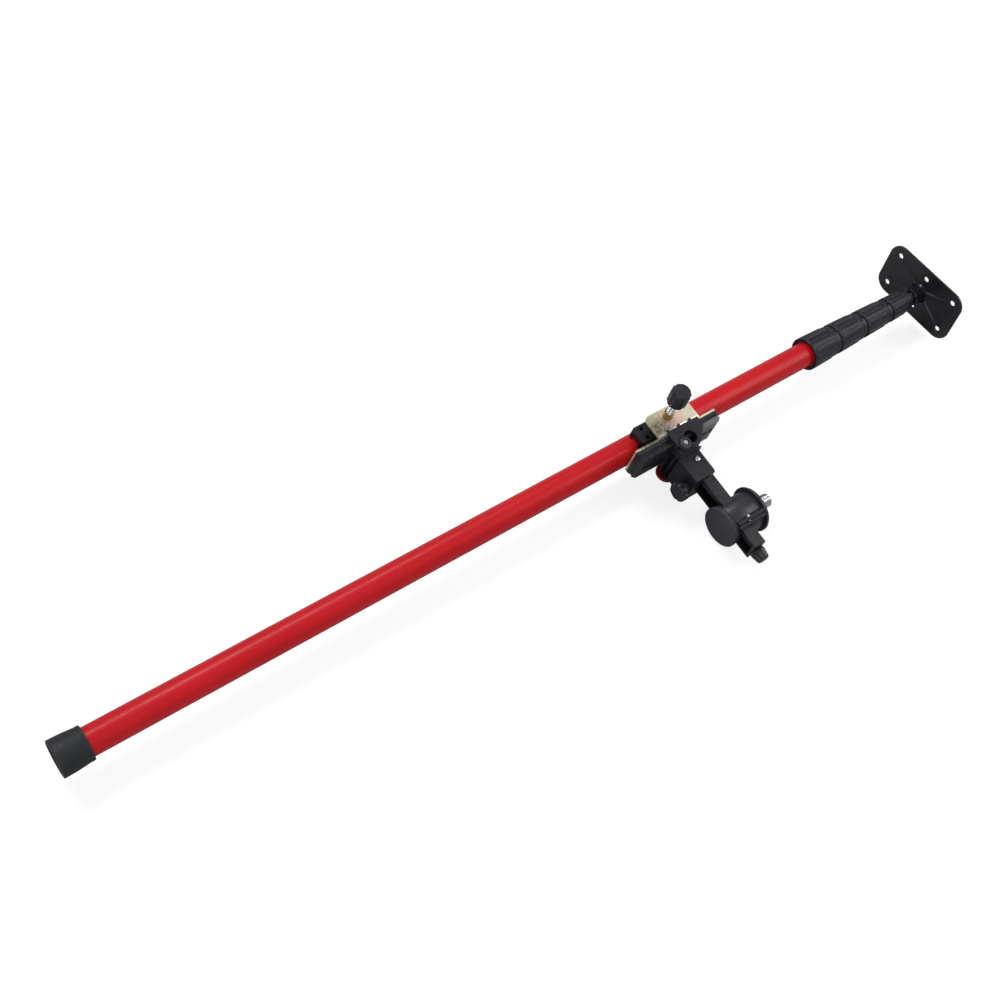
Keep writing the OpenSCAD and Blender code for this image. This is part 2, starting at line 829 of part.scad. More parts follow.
// Bar that the slide body runs along, with a rack in its front face
module guide_bar() {
    half = bar_len / 2;
    teeth = floor((half - rack_end) / rack_pitch) - 1;
    color(black_plastic)
        on_bracket()
            difference() {
                union() {
                    difference() {
                        block([-half, half], [bar_s0, bar_s1], [bar_t0, bar_t1]);
                        block([-half + rack_end, half - rack_end], [rack_root_s, bar_s1 + over],
                            [rack_t0, rack_t1]);
                    }
                    translate([wheel_u, 0, rack_t0])
                        linear_extrude(rack_t1 - rack_t0)
                            for (k = [-teeth : teeth])
                                polygon([for (p = rack_tooth(k)) [p[0], -p[1]]]);
                }
                for (t = [[bar_t0 - over, bar_t0 + key_groove_depth], [bar_t1 - key_groove_depth, bar_t1 + over]])
                    block([-half - over, half + over], [key_groove_s0, key_groove_s1], t);
                for (share = bar_groove_share)
                    block([-half - over, half + over], [bar_s1 - bar_groove_depth, bar_s1 + over],
                        [bar_t0 + share * bar_h, bar_t0 + share * bar_h + bar_groove_w]);
                for (side = [-1, 1])
                    translate([side * half, -bar_s1, bar_t0 - over])
                        rotate([0, 0, 45])
                            cube([bar_chamfer, bar_chamfer, 2 * (bar_h + 2 * over)], center = true);
                for (u = [-bar_screw_u, bar_screw_u])
                    spindle(u, [bar_s0 - over, bar_s0 + bar_screw_len], bar_screw_t, bar_screw_r + seat_gap);
            }
}

module bar_screws() {
    color(bright_steel)
        on_bracket()
            for (u = [-bar_screw_u, bar_screw_u]) {
                spindle(u, [steel_s0, bar_s0 + bar_screw_len], bar_screw_t, bar_screw_r);
                spindle(u, [steel_s0 - bar_screw_head_h, steel_s0], bar_screw_t, bar_screw_head_r);
            }
}

// Involute of the pinion's base circle at roll angle a in degrees
function involute(a) = pinion_base_r * [
    cos(a) + a * PI / 180 * sin(a),
    sin(a) - a * PI / 180 * cos(a)
];
function roll_at(r) = sqrt(max(0, pow(r / pinion_base_r, 2) - 1)) * 180 / PI;
function spread_at(r) = roll_at(r) - atan2(roll_at(r) * PI / 180, 1);
flank_steps = 5;
half_tooth = 90 / pinion_teeth - tooth_backlash / pinion_pitch_r / 2 * 180 / PI;

function turned(p, a) = [p[0] * cos(a) - p[1] * sin(a), p[0] * sin(a) + p[1] * cos(a)];
function flank(side) = [
    for (k = [0 : flank_steps])
        let (roll = roll_at(pinion_tip_r) * k / flank_steps)
        let (p = turned(involute(roll), -half_tooth - spread_at(pinion_pitch_r)))
        [p[0], side * p[1]]
];
function pinion_tooth() = concat(
    [[pinion_root_r * cos(half_tooth + spread_at(pinion_pitch_r)),
        -pinion_root_r * sin(half_tooth + spread_at(pinion_pitch_r))]],
    flank(1),
    [for (k = [flank_steps : -1 : 0]) flank(-1)[k]],
    [[pinion_root_r * cos(half_tooth + spread_at(pinion_pitch_r)),
        pinion_root_r * sin(half_tooth + spread_at(pinion_pitch_r))]]
);

// Shaft through the slide body with the pinion that rolls on the rack
module pinion_shaft() {
    color(bright_steel)
        on_bracket() {
            post(wheel_u, wheel_s, [red_t0, shaft_top], shaft_r);
            translate([wheel_u, -wheel_s, rack_t0 + glide_gap])
                rotate([0, 0, 90])
                    linear_extrude(rack_t1 - rack_t0 - 2 * glide_gap)
                        difference() {
                            union() {
                                circle(r = pinion_root_r + run_gap);
                                for (k = [0 : pinion_teeth - 1])
                                    rotate([0, 0, (k + 0.5) * 360 / pinion_teeth])
                                        polygon(pinion_tooth());
                            }
                            circle(r = shaft_r / 2);
                        }
        }
}

module fine_wheel() {
    wheel_r = wheel_d / 2;
    color(black_plastic)
        on_bracket()
            translate([wheel_u, -wheel_s, wheel_t0])
                difference() {
                    fluted([
                        [0, 0],
                        [wheel_r - edge_break / 2, 0],
                        [wheel_r, edge_break / 2],
                        [wheel_r, wheel_h - edge_break / 2],
                        [wheel_r - edge_break / 2, wheel_h],
                        [0, wheel_h]
                    ], 24, wheel_d / 36, wheel_r, wheel_h);
                    translate([0, 0, -over]) cylinder(h = wheel_h + 2 * over, r = shaft_r + seat_gap);
                }
}

module red_wheel() {
    wheel_r = red_wheel_d / 2;
    color(red_plastic)
        on_bracket()
            translate([wheel_u, -wheel_s, red_t0])
                difference() {
                    fluted([
                        [0, 0],
                        [wheel_r - edge_break, 0],
                        [wheel_r, edge_break],
                        [wheel_r, red_wheel_h - edge_break / 2],
                        [wheel_r - edge_break / 2, red_wheel_h],
                        [0, red_wheel_h]
                    ], 30, red_wheel_d / 60, wheel_r, red_wheel_h);
                    translate([0, 0, -over]) cylinder(h = red_wheel_h + 2 * over, r = shaft_r + seat_gap);
                }
}

// Part of the slide body that wraps the guide bar, its front corner cut off
module bar_wrap() {
    difference() {
        union() {
            block([body_u0, body_u1], [body_s0, body_s1], [bar_t1 + glide_gap, body_t1]);
            block([body_u0, body_u1], [lip_s0, body_s0], [lip_t0, body_t1]);
            block([body_u0, body_u1], [body_s0, body_s1], [body_t0, bar_t0 - glide_gap]);
            block([body_u0, body_u1], [bar_s1 + glide_gap, body_s1], [body_t0, body_t1]);
            for (t = [[bar_t1 - key_groove_depth + glide_gap, bar_t1 + 2 * glide_gap],
                    [bar_t0 - 2 * glide_gap, bar_t0 + key_groove_depth - glide_gap]])
                block([body_u0, body_u1], [key_groove_s0 + glide_gap, key_groove_s1 - glide_gap], t);
            for (k = [0 : tab_count - 1])
                translate([body_u0 + tab_inset + k * tab_step, 0, 0])
                    block([-tab_w / 2, tab_w / 2], [tab_s0, body_s0], [lip_t0, body_t1]);
        }
        translate([body_u1, -body_s1, 0])
            rotate([0, 0, 45])
                cube([body_chamfer * sqrt(2), body_chamfer * sqrt(2), 4 * body_t1], center = true);
    }
}

// Body that wraps the guide bar and carries the adjuster and the carriage
module slide_body() {
    wheel_r = wheel_d / 2;
    color(black_plastic)
        on_bracket()
            difference() {
                union() {
                    bar_wrap();
                    block([box_u0, box_u1], [bar_s1 + glide_gap, box_s1], [box_t0, box_t1]);
                    block([box_u0, box_u1], [body_s1, body_s1 + ridge_t], [box_t1, box_t1 + ridge_h]);
                }
                difference() {
                    block([body_u0 - over, cavity_u1], [bar_s1 + glide_gap + cavity_back, box_s1 - box_wall],
                        [box_t0 + box_wall, box_t1 - box_wall]);
                    post(wheel_u, wheel_s, [box_t0, box_t1], shaft_r + box_wall);
                }
                post(wheel_u, wheel_s, [box_t0 - over, body_t1 + over], shaft_r + run_gap);
                post(wheel_u, wheel_s, [rack_t0, rack_t1], pinion_tip_r + pinion_gap);
                post(wheel_u, wheel_s, [wheel_t0 - wheel_gap, body_t1 + over], wheel_r + wheel_gap);
                block([body_u0 - over, wheel_u], [wheel_s, body_s1 + over], [wheel_t0 - wheel_gap, body_t1 + over]);
                post(sight_hole_u, sight_hole_s, [body_t1 - sight_hole_depth, body_t1 + over], sight_hole_r);
                for (t = carriage_screw_t)
                    spindle(carriage_screw_u, [box_s1 - carriage_screw_bite, box_s1 + over], t,
                        carriage_screw_r + seat_gap);
            }
}

// Block in front of the slide body with the channel that holds the rail
module carriage() {
    color(black_plastic)
        on_bracket()
            difference() {
                union() {
                    block([carriage_u0, carriage_u1], [carriage_s0, carriage_s1], [carriage_t0, carriage_t1]);
                    axle([carriage_u0 - lock_boss_h, carriage_u0], lock_s, lock_t, lock_boss_r);
                }
                block([rail_u0 - rail_gap, rail_u1 + rail_gap], [carriage_s0 - over, carriage_s1 + over],
                    [rail_t0 - rail_gap, rail_t1 + rail_gap]);
                block([gib_u0 - rail_gap / 2, rail_u0], [lock_s - gib_half - rail_gap / 2, lock_s + gib_half + rail_gap / 2],
                    [rail_mid_t - gib_rise - rail_gap / 2, rail_mid_t + gib_rise + rail_gap / 2]);
                axle([carriage_u0 - lock_boss_h - over, rail_u0], lock_s, lock_t, lock_screw_r + run_gap);
                post(tension_u, tension_s, [rail_t1, carriage_t1 + over], tension_r + run_gap);
                for (t = carriage_screw_t) {
                    spindle(carriage_screw_u, [carriage_s0 - over, carriage_s1 + over], t,
                        carriage_screw_r + seat_gap);
                    spindle(carriage_screw_u, [carriage_s1 - carriage_screw_head_h, carriage_s1 + over], t,
                        carriage_screw_head_r + seat_gap);
                }
                translate([carriage_u1, -carriage_s1, carriage_t0 - over])
                    rotate([0, 0, 45])
                        cube([carriage_chamfer, carriage_chamfer, 2 * (carriage_t1 - carriage_t0 + 2 * over)],
                            center = true);
                translate([carriage_u1, -(carriage_s0 + carriage_s1) / 2, carriage_t1])
                    rotate([0, 45, 0])
                        cube([carriage_edge, carriage_len + 2 * over, carriage_edge], center = true);
                block([carriage_u0 - over, carriage_u1 + over], [carriage_s0 - over, carriage_s0 + lid_inset],
                    [carriage_t1 - lid_h, carriage_t1 + over]);
            }
}

module carriage_screws() {
    color(bright_steel)
        on_bracket()
            for (t = carriage_screw_t) {
                spindle(carriage_screw_u, [box_s1 - carriage_screw_bite, carriage_s1 - carriage_screw_head_h], t,
                    carriage_screw_r);
                spindle(carriage_screw_u, [carriage_s1 - carriage_screw_head_h, carriage_s1], t,
                    carriage_screw_head_r);
            }
}

// Strip that the lock screw presses against the rail
module rail_gib() {
    color(brass)
        on_bracket()
            block([gib_u0, gib_u1], [lock_s - gib_half, lock_s + gib_half],
                [rail_mid_t - gib_rise, rail_mid_t + gib_rise]);
}

module tension_screw() {
    color(bright_steel)
        on_bracket() {
            post(tension_u, tension_s, [rail_t1 + rail_gap, carriage_t1], tension_r);
            post(tension_u, tension_s, [carriage_t1, carriage_t1 + tension_head_h], tension_head_r);
        }
}

module rail_lock_screw() {
    color(bright_steel)
        on_bracket()
            axle([lock_knob_u0 + lock_knob_len / 2, gib_u0 - rail_gap / 2], lock_s, lock_t, lock_screw_r);
}

module rail_lock_knob() {
    knob_r = lock_knob_d / 2;
    color(black_plastic)
        on_bracket()
            translate([lock_knob_u1, -lock_s, lock_t])
                rotate([0, -90, 0])
                    difference() {
                        fluted([
                            [0, 0],
                            [knob_r - edge_break, 0],
                            [knob_r, edge_break],
                            [knob_r, lock_knob_len - 2 * edge_break],
                            [knob_r - 2 * edge_break, lock_knob_len],
                            [0, lock_knob_len]
                        ], 7, lock_knob_d / 7, lock_knob_d / 2 + lock_knob_d / 12, lock_knob_len);
                        translate([0, 0, -over])
                            cylinder(h = lock_knob_len / 2 + over, r = lock_screw_r + seat_gap);
                    }
}

// Channel rail, open towards the foot, closed at its outer end
module rail() {
    color(black_plastic)
        on_bracket()
            difference() {
                block([rail_u0, rail_u1], [rail_s0, rail_s1], [rail_t0, rail_t1]);
                block([rail_u0 - over, rail_in_u1], [rail_s0 + rail_end_wall, rail_s1 - rail_end_wall],
                    [rail_in_t0, rail_in_t1]);
                spindle(lead_u, [rail_s0 - over, rail_s1 + over], rail_mid_t, lead_r + run_gap);
            }
}

module lead_screw() {
    color(bright_steel)
        on_bracket()
            spindle(lead_u, [rail_s0 + edge_break, rail_s1 + end_knob_len / 2], rail_mid_t, lead_r);
}

module end_knob() {
    knob_r = end_knob_d / 2;
    color(black_plastic)
        on_bracket()
            translate([lead_u, -rail_s1 - edge_break / 2, rail_mid_t])
                rotate([90, 0, 0])
                    difference() {
                        fluted([
                            [0, 0],
                            [knob_r - edge_break, 0],
                            [knob_r, edge_break],
                            [knob_r, end_knob_len - 3 * edge_break],
                            [knob_r - 2 * edge_break, end_knob_len - edge_break],
                            [knob_r - 4 * edge_break, end_knob_len],
                            [0, end_knob_len]
                        ], 10, end_knob_d / 16, end_knob_d / 2 + end_knob_d / 30, end_knob_len);
                        translate([0, 0, -over])
                            cylinder(h = end_knob_len / 2 + over, r = lead_r + seat_gap);
                    }
}

// Nut that the lead screw drives along the rail, seated in the housing
module lead_nut() {
    color(brass)
        on_bracket()
            difference() {
                block([rail_u0 - passage_gap, rail_in_u1 - nut_inset], [head_reach - nut_half, head_reach + nut_half],
                    [rail_in_t0 + nut_inset, rail_in_t1 - nut_inset]);
                spindle(lead_u, [head_reach - nut_half - over, head_reach + nut_half + over], rail_mid_t,
                    lead_r + run_gap);
            }
}

// Drum that rides on the rail and carries the turning platform
module head_housing() {
    ear_len = housing_len * ear_len_share;
    ear_u0 = housing_u1 - ear_len;
    color(black_plastic)
        on_bracket()
            difference() {
                union() {
                    axle([housing_u0, housing_u1], head_reach, 0, housing_r);
                    translate([ear_u0, -head_reach, 0])
                        rotate([-ear_angle, 0, 0])
                            for (side = [-1, 1])
                                translate([0, -housing_r - ear_h, side > 0 ? ear_slit / 2 : -ear_slit / 2 - ear_w])
                                    cube([ear_len, ear_h + housing_r / 8, ear_w]);
                }
                block([rail_u0 - passage_gap, rail_u1 + passage_gap],
                    [head_reach - housing_r - over, head_reach + housing_r + over],
                    [rail_t0 - passage_gap, rail_t1 + passage_gap]);
                axle([housing_u1 - hub_len - hub_end_gap, housing_u1 + over], head_reach, 0, hub_r + run_gap);
                axle([housing_u0 - over, rail_u0], head_reach, 0, head_lock_r + run_gap);
                translate([0, -head_reach, 0])
                    rotate([-ear_angle, 0, 0])
                        translate([pinch_u, -housing_r - pinch_out_share * ear_h, -ear_w - ear_slit - over])
                            cylinder(h = 2 * (ear_w + ear_slit + over), r = pinch_r + seat_gap);
            }
}

module pinch_screw() {
    color(bright_steel)
        on_bracket()
            translate([0, -head_reach, 0])
                rotate([-ear_angle, 0, 0])
                    translate([pinch_u, -housing_r - pinch_out_share * ear_h, -ear_w - ear_slit / 2]) {
                        cylinder(h = 2 * ear_w + ear_slit, r = pinch_r);
                        translate([0, 0, 2 * ear_w + ear_slit]) cylinder(h = pinch_head_h, r = pinch_head_r);
                    }
}

// Large flat knob with a knurled rim
module head_lock_knob() {
    color(black_plastic)
        on_bracket()
            translate([disc_u1, -head_reach, 0])
                rotate([0, -90, 0])
                    difference() {
                        fluted([
                            [0, 0],
                            [disc_r - edge_break / 2, 0],
                            [disc_r, edge_break / 2],
                            [disc_r, disc_t - edge_break],
                            [disc_r - edge_break, disc_t],
                            [disc_r - disc_rim - edge_break, disc_t],
                            [disc_r - disc_rim - edge_break, disc_t - disc_dish],
                            [0, disc_t - disc_dish]
                        ], disc_scallops, disc_scallop_r, disc_r, disc_t);
                        translate([0, 0, -over])
                            cylinder(h = disc_t / 2 + over, r = head_lock_r + seat_gap);
                    }
}

module head_lock_screw() {
    color(bright_steel)
        on_bracket()
            axle([disc_u1 - disc_t / 2, rail_u0 - passage_gap - run_gap], head_reach, 0, head_lock_r);
}

// Platform on which an instrument stands, with its hub inside the drum
module platform() {
    color(black_plastic)
        on_bracket()
            difference() {
                union() {
                    axle([platform_u0, platform_u1], head_reach, 0, platform_r);
                    axle([housing_u1 - hub_len, platform_u0], head_reach, 0, hub_r);
                    difference() {
                        axle([platform_u1, platform_u1 + platform_lip], head_reach, 0, platform_r - platform_lip);
                        axle([platform_u1, platform_u1 + platform_lip + over], head_reach, 0,
                            platform_r - 3 * platform_lip);
                    }
                }
                axle([platform_u1 - stud_foot_len, platform_u1 + over], head_reach, 0, stud_foot_r + seat_gap);
            }
}

module stud() {
    color(bright_steel)
        on_bracket()
            translate([platform_u1, -head_reach, 0])
                rotate([0, 90, 0])
                    rotate_extrude()
                        polygon([
                            [0, -stud_foot_len],
                            [stud_foot_r, -stud_foot_len],
                            [stud_foot_r, 0],
                            [stud_r, 0],
                            [stud_r, stud_len - stud_chamfer],
                            [stud_r - stud_chamfer, stud_len],
                            [0, stud_len]
                        ]);
}

foot_cap();
tube(0);  // tube_1
tube(1);  // tube_2
tube(2);  // tube_3
tube(3);  // tube_4
tube(4);  // tube_5
collet(0);  // collet_1
collet(1);  // collet_2
collet(2);  // collet_3
collet(3);  // collet_4
collar(0);  // collar_1
collar(1);  // collar_2
collar(2);  // collar_3
collar(3);  // collar_4
guide_plug(1);  // guide_plug_2
guide_plug(2);  // guide_plug_3
guide_plug(3);  // guide_plug_4
guide_plug(4);  // guide_plug_5
ball_stud();
ball_socket();
head_plate();
clamp_plate();
weld_nut();
saddle_pad();
pressure_block();
clamp_screw();
clamp_knob();
guide_bar();
bar_screws();
slide_body();
pinion_shaft();
fine_wheel();
red_wheel();
carriage();
carriage_screws();
rail_gib();
tension_screw();
rail_lock_screw();
rail_lock_knob();
rail();
lead_screw();
end_knob();
lead_nut();
head_housing();
pinch_screw();
head_lock_knob();
head_lock_screw();
platform();
stud();
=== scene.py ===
"""Telescopic support pole with a clamp-on slide bracket: materials, detail, light and camera."""
import math

import bmesh
import bpy
from mathutils import Matrix, Vector

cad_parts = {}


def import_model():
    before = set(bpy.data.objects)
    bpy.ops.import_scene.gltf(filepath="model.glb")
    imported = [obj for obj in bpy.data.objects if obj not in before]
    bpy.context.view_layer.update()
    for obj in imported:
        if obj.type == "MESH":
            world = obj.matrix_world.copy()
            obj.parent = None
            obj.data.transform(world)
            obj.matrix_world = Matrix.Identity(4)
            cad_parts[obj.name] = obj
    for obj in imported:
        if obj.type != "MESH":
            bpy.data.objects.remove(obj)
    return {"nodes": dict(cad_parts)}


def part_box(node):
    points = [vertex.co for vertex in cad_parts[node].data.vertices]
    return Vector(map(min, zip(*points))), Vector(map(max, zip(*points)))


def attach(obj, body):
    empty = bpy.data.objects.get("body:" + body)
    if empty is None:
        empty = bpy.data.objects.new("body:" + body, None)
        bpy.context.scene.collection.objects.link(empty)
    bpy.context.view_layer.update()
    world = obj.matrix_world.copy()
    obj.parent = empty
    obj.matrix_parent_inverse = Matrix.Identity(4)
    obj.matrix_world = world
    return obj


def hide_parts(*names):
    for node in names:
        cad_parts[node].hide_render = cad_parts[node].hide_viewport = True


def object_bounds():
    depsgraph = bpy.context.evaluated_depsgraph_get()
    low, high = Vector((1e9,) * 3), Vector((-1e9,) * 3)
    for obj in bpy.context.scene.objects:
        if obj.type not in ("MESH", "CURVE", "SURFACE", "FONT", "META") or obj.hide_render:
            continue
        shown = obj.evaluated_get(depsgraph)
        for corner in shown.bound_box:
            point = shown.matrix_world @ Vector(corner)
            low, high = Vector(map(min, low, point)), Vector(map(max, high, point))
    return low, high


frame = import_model()
cad_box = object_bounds()

MM = 0.001
TAU = 2 * math.pi

# The bracket's own frame: u along the pole, s out towards the arm, t up
BRACKET_X = 720
BRACKET_TURN = math.radians(7)
BRACKET = Matrix.Translation((BRACKET_X, 0, 0)) @ Matrix.Rotation(BRACKET_TURN, 4, "X")
TO_X = Matrix.Rotation(math.radians(90), 4, "Y")
TO_FOOT = Matrix.Rotation(math.radians(-90), 4, "Y")
TO_ARM = Matrix.Rotation(math.radians(90), 4, "X")

# Places of the bracket's pieces in its own frame, in millimetres
CLAMP_U = 1
CLAMP_SOCKET_T = 18
FLANGE_T = 41
CLAMP_KNOB_T = 69
WHEEL_U, WHEEL_S, WHEEL_T = -3.5, 37.5875, 38.6
RED_WHEEL_T = -27
TENSION = (8, 54.8, 25.02)
LOCK_U, LOCK_S, LOCK_T = -15.5, 70.8, 0
LEAD_U, LEAD_T = 9, 4
RAIL_START, RAIL_END = 48.8, 171.5
HEAD_S = 129
DISC_U = -3.5
TABLE_U, STUD_U = 37.3, 40.8
PINCH_U, PINCH_OUT, PINCH_FOOT, PINCH_LENGTH = 15, 25.4, 4.5, 9
EAR_TURN = math.radians(57)

# Where a coat changes, in millimetres of the frame: from and to along an axis
BLOOM_X = 698, 752
STAIN_X, STAIN_Y = (722, 713), (-1, -9)
# Where a painted reflection lightens the front of the guide bar's head end
PAINTED_SHEEN_X, PAINTED_SHEEN_Y = (742, 756), (-28.5, -30.5)
BARE_BELOW_TOP = 1.6, 1.2

DARK_STEEL = (0.045, 0.045, 0.05)


def at(u, s, t, turn=Matrix.Identity(4)):
    """Place in the bracket's frame for a piece drawn about its own z."""
    return BRACKET @ Matrix.Translation((u, -s, t)) @ turn


# Materials


def scaled(color, factor):
    return tuple(c * factor for c in color)


class Paint:
    """A node material under construction."""

    def __init__(self, name, color, roughness, metallic=0.0, coat=0.0, coat_roughness=0.1,
                 specular=0.5):
        self.material = bpy.data.materials.new(name)
        self.material.use_nodes = True
        self.tree = self.material.node_tree
        self.shader = self.tree.nodes["Principled BSDF"]
        values = {"Base Color": (*color, 1), "Roughness": roughness, "Metallic": metallic,
                  "Coat Weight": coat, "Coat Roughness": coat_roughness,
                  "Specular IOR Level": specular}
        for socket, value in values.items():
            self.shader.inputs[socket].default_value = value
        self.place = self.add("ShaderNodeTexCoord").outputs["Object"]
        self.bumps = None

    def add(self, kind, **settings):
        node = self.tree.nodes.new(kind)
        for key, value in settings.items():
            setattr(node, key, value)
        return node

    def link(self, a, b):
        self.tree.links.new(a, b)

    def drive(self, socket, value):
        self.link(value, self.shader.inputs[socket])

    def stretched(self, scale):
        node = self.add("ShaderNodeMapping")
        node.inputs["Scale"].default_value = scale
        self.link(self.place, node.inputs["Vector"])
        return node.outputs["Vector"]

    def noise(self, size, detail=3.0, rough=0.55, distortion=0.0, vector=None):
        """Noise whose features are about that size in millimetres."""
        node = self.add("ShaderNodeTexNoise")
        node.inputs["Scale"].default_value = 1 / (size * MM)
        node.inputs["Detail"].default_value = detail
        node.inputs["Roughness"].default_value = rough
        node.inputs["Distortion"].default_value = distortion
        self.link(vector or self.place, node.inputs["Vector"])
        return node.outputs["Fac"]

    def ramp(self, value, stops):
        node = self.add("ShaderNodeValToRGB")
        marks = node.color_ramp.elements
        while len(marks) < len(stops):
            marks.new(0.5)
        for mark, (where, color) in zip(marks, stops):
            mark.position = where
            mark.color = (*color, 1)
        self.link(value, node.inputs["Fac"])
        return node.outputs["Color"]

    def spread(self, value, low, high, lo=0.3, hi=0.7):
        """Low to high while the value goes from lo to hi."""
        node = self.add("ShaderNodeMapRange")
        node.inputs["From Min"].default_value = lo
        node.inputs["From Max"].default_value = hi
        node.inputs["To Min"].default_value = low
        node.inputs["To Max"].default_value = high
        self.link(value, node.inputs["Value"])
        return node.outputs["Result"]

    def along(self, axis, start, end):
        """0 to 1 between two places in millimetres on the X, Y or Z axis of the frame."""
        node = self.add("ShaderNodeSeparateXYZ")
        self.link(self.place, node.inputs["Vector"])
        return self.spread(node.outputs[axis], 0, 1, start * MM, end * MM)

    def math(self, operation, a, b):
        node = self.add("ShaderNodeMath", operation=operation)
        self.link(a, node.inputs[0])
        self.link(b, node.inputs[1])
        return node.outputs[0]

    def blend(self, fac, a, b):
        """From a to b by fac; each is a colour or a node's output."""
        node = self.add("ShaderNodeMix", data_type="RGBA", blend_type="MIX")
        for socket, value in (("Factor", fac), ("A", a), ("B", b)):
            port = next(i for i in node.inputs if i.name == socket and i.enabled)
            if isinstance(value, tuple):
                port.default_value = (*value, 1)
            else:
                self.link(value, port)
        return next(o for o in node.outputs if o.enabled)

    def bump(self, height, strength, distance):
        """Adds a relief of that many millimetres on top of those before it."""
        node = self.add("ShaderNodeBump")
        node.inputs["Strength"].default_value = strength
        node.inputs["Distance"].default_value = distance * MM
        self.link(height, node.inputs["Height"])
        if self.bumps:
            self.link(self.bumps, node.inputs["Normal"])
        self.bumps = node.outputs["Normal"]
        self.drive("Normal", self.bumps)

    def edge_wear_and_highlight(self, color, lighter, amount=0.5):
        """Lighter colour along sharp edges, broken up by noise."""
        sharp = self.add("ShaderNodeNewGeometry").outputs["Pointiness"]
        edge = self.spread(sharp, 0, amount, 0.515, 0.56)
        patchy = self.math("MULTIPLY", edge, self.spread(self.noise(3), 0.35, 1, 0.4, 0.6))
        return self.blend(patchy, color, lighter)


def red_paint():
    """Gloss red over drawn steel tube, with a faint orange peel and a few darker specks."""
    p = Paint("red_paint", (0.58, 0.008, 0.013), 0.4, coat=0.07, coat_roughness=0.14,
              specular=0.2)
    color = p.ramp(p.noise(90, 2), [(0.3, (0.53, 0.006, 0.010)), (0.7, (0.60, 0.009, 0.013))])
    specks = p.spread(p.noise(0.9, 2), 0, 0.2, 0.68, 0.78)
    p.drive("Base Color", p.blend(specks, color, (0.40, 0.006, 0.010)))
    p.drive("Roughness", p.spread(p.noise(25, 4), 0.36, 0.48))
    p.bump(p.noise(1.3, 2, vector=p.stretched((0.012, 1, 1))), 0.06, 0.03)
    p.bump(p.noise(1.6, 2), 0.08, 0.04)
    return p.material


def black_rubber():
    """Dull rubber with a chalky bloom and edges paler from wear."""
    p = Paint("black_rubber", (0.012, 0.013, 0.014), 0.58, specular=0.42)
    chalk = p.noise(9, 6, 0.65, 0.4)
    color = p.ramp(chalk, [(0.35, (0.010, 0.011, 0.012)), (0.72, (0.018, 0.019, 0.021))])
    p.drive("Base Color", p.edge_wear_and_highlight(color, (0.075, 0.076, 0.08), 0.45))
    p.drive("Roughness", p.spread(p.noise(5, 5), 0.5, 0.72))
    p.bump(p.noise(1.1, 5, 0.6), 0.22, 0.08)
    p.bump(p.noise(0.25, 2), 0.15, 0.03)
    return p.material


def moulded(name, color, roughness, grain=0.3, depth=0.035, edge=None, specular=0.5, tint=1.35):
    """Moulded plastic with a fine spark-eroded grain, flow marks and lighter edges; these are
    wear, except on the knurled wheel, where they are painted highlights.
    """
    p = Paint(name, color, roughness, specular=specular)
    flow = p.noise(22, 4, 0.5, 0.8)
    tone = p.ramp(flow, [(0.3, scaled(color, 0.88)), (0.72, scaled(color, tint))])
    speck = p.spread(p.noise(grain * 1.4, 2), 0, 0.3, 0.6, 0.75)
    tone = p.blend(speck, tone, scaled(color, 1.8))
    p.drive("Base Color", p.edge_wear_and_highlight(tone, edge or scaled(color, 2.6)))
    p.drive("Roughness", p.spread(p.noise(6, 4), roughness - 0.06, roughness + 0.08))
    p.bump(p.noise(grain, 2, 0.6), 0.45, depth)
    p.bump(p.noise(12, 2), 0.10, 0.15)
    return p.material


def powder_coat():
    """Black powder coat with a fine texture."""
    p = Paint("black_paint", (0.010, 0.0098, 0.0125), 0.36, specular=0.45)
    tone = p.ramp(p.noise(30, 3), [(0.3, (0.009, 0.0088, 0.011)), (0.7, (0.0135, 0.013, 0.016))])
    p.drive("Base Color", p.edge_wear_and_highlight(tone, (0.035, 0.035, 0.038), 0.4))
    p.drive("Roughness", p.spread(p.noise(4, 4), 0.30, 0.44))
    p.bump(p.noise(1.2, 3, 0.5), 0.35, 0.06)
    return p.material


def zinc_yellow():
    """Passivated zinc, green-grey at the foot end, then pink to cream, with a brown stain."""
    p = Paint("zinc_yellow", (0.78, 0.62, 0.42), 0.26, metallic=0.5)
    ragged = p.spread(p.noise(16, 2, 0.45, 0.6), -0.16, 0.16)
    bloom = p.ramp(p.math("ADD", p.along("X", *BLOOM_X), ragged), [
        (0.00, (0.46, 0.48, 0.28)),
        (0.20, (0.52, 0.52, 0.31)),
        (0.30, (0.74, 0.54, 0.42)),
        (0.42, (1.0, 0.60, 0.54)),
        (0.60, (1.0, 0.66, 0.58)),
        (0.74, (1.0, 0.80, 0.62)),
        (1.00, (0.92, 0.86, 0.62)),
    ])
    drained = p.math("MULTIPLY", p.along("X", *STAIN_X), p.along("Y", *STAIN_Y))
    patchy = p.spread(p.noise(9, 3, 0.5, 0.6), 0.3, 1, 0.36, 0.56)
    color = p.blend(p.math("MULTIPLY", drained, patchy), bloom, (0.11, 0.075, 0.04))
    fine = p.spread(p.noise(2.2, 3), 0, 0.22, 0.55, 0.75)
    color = p.blend(fine, color, (0.52, 0.44, 0.26))
    p.drive("Base Color", p.edge_wear_and_highlight(color, (1.0, 0.93, 0.74), 0.95))
    p.drive("Roughness", p.spread(p.noise(12, 4), 0.18, 0.34))
    p.bump(p.noise(1.0, 4), 0.08, 0.04)
    p.bump(p.noise(1.2, 2, vector=p.stretched((0.06, 1, 1))), 0.10, 0.03)
    return p.material


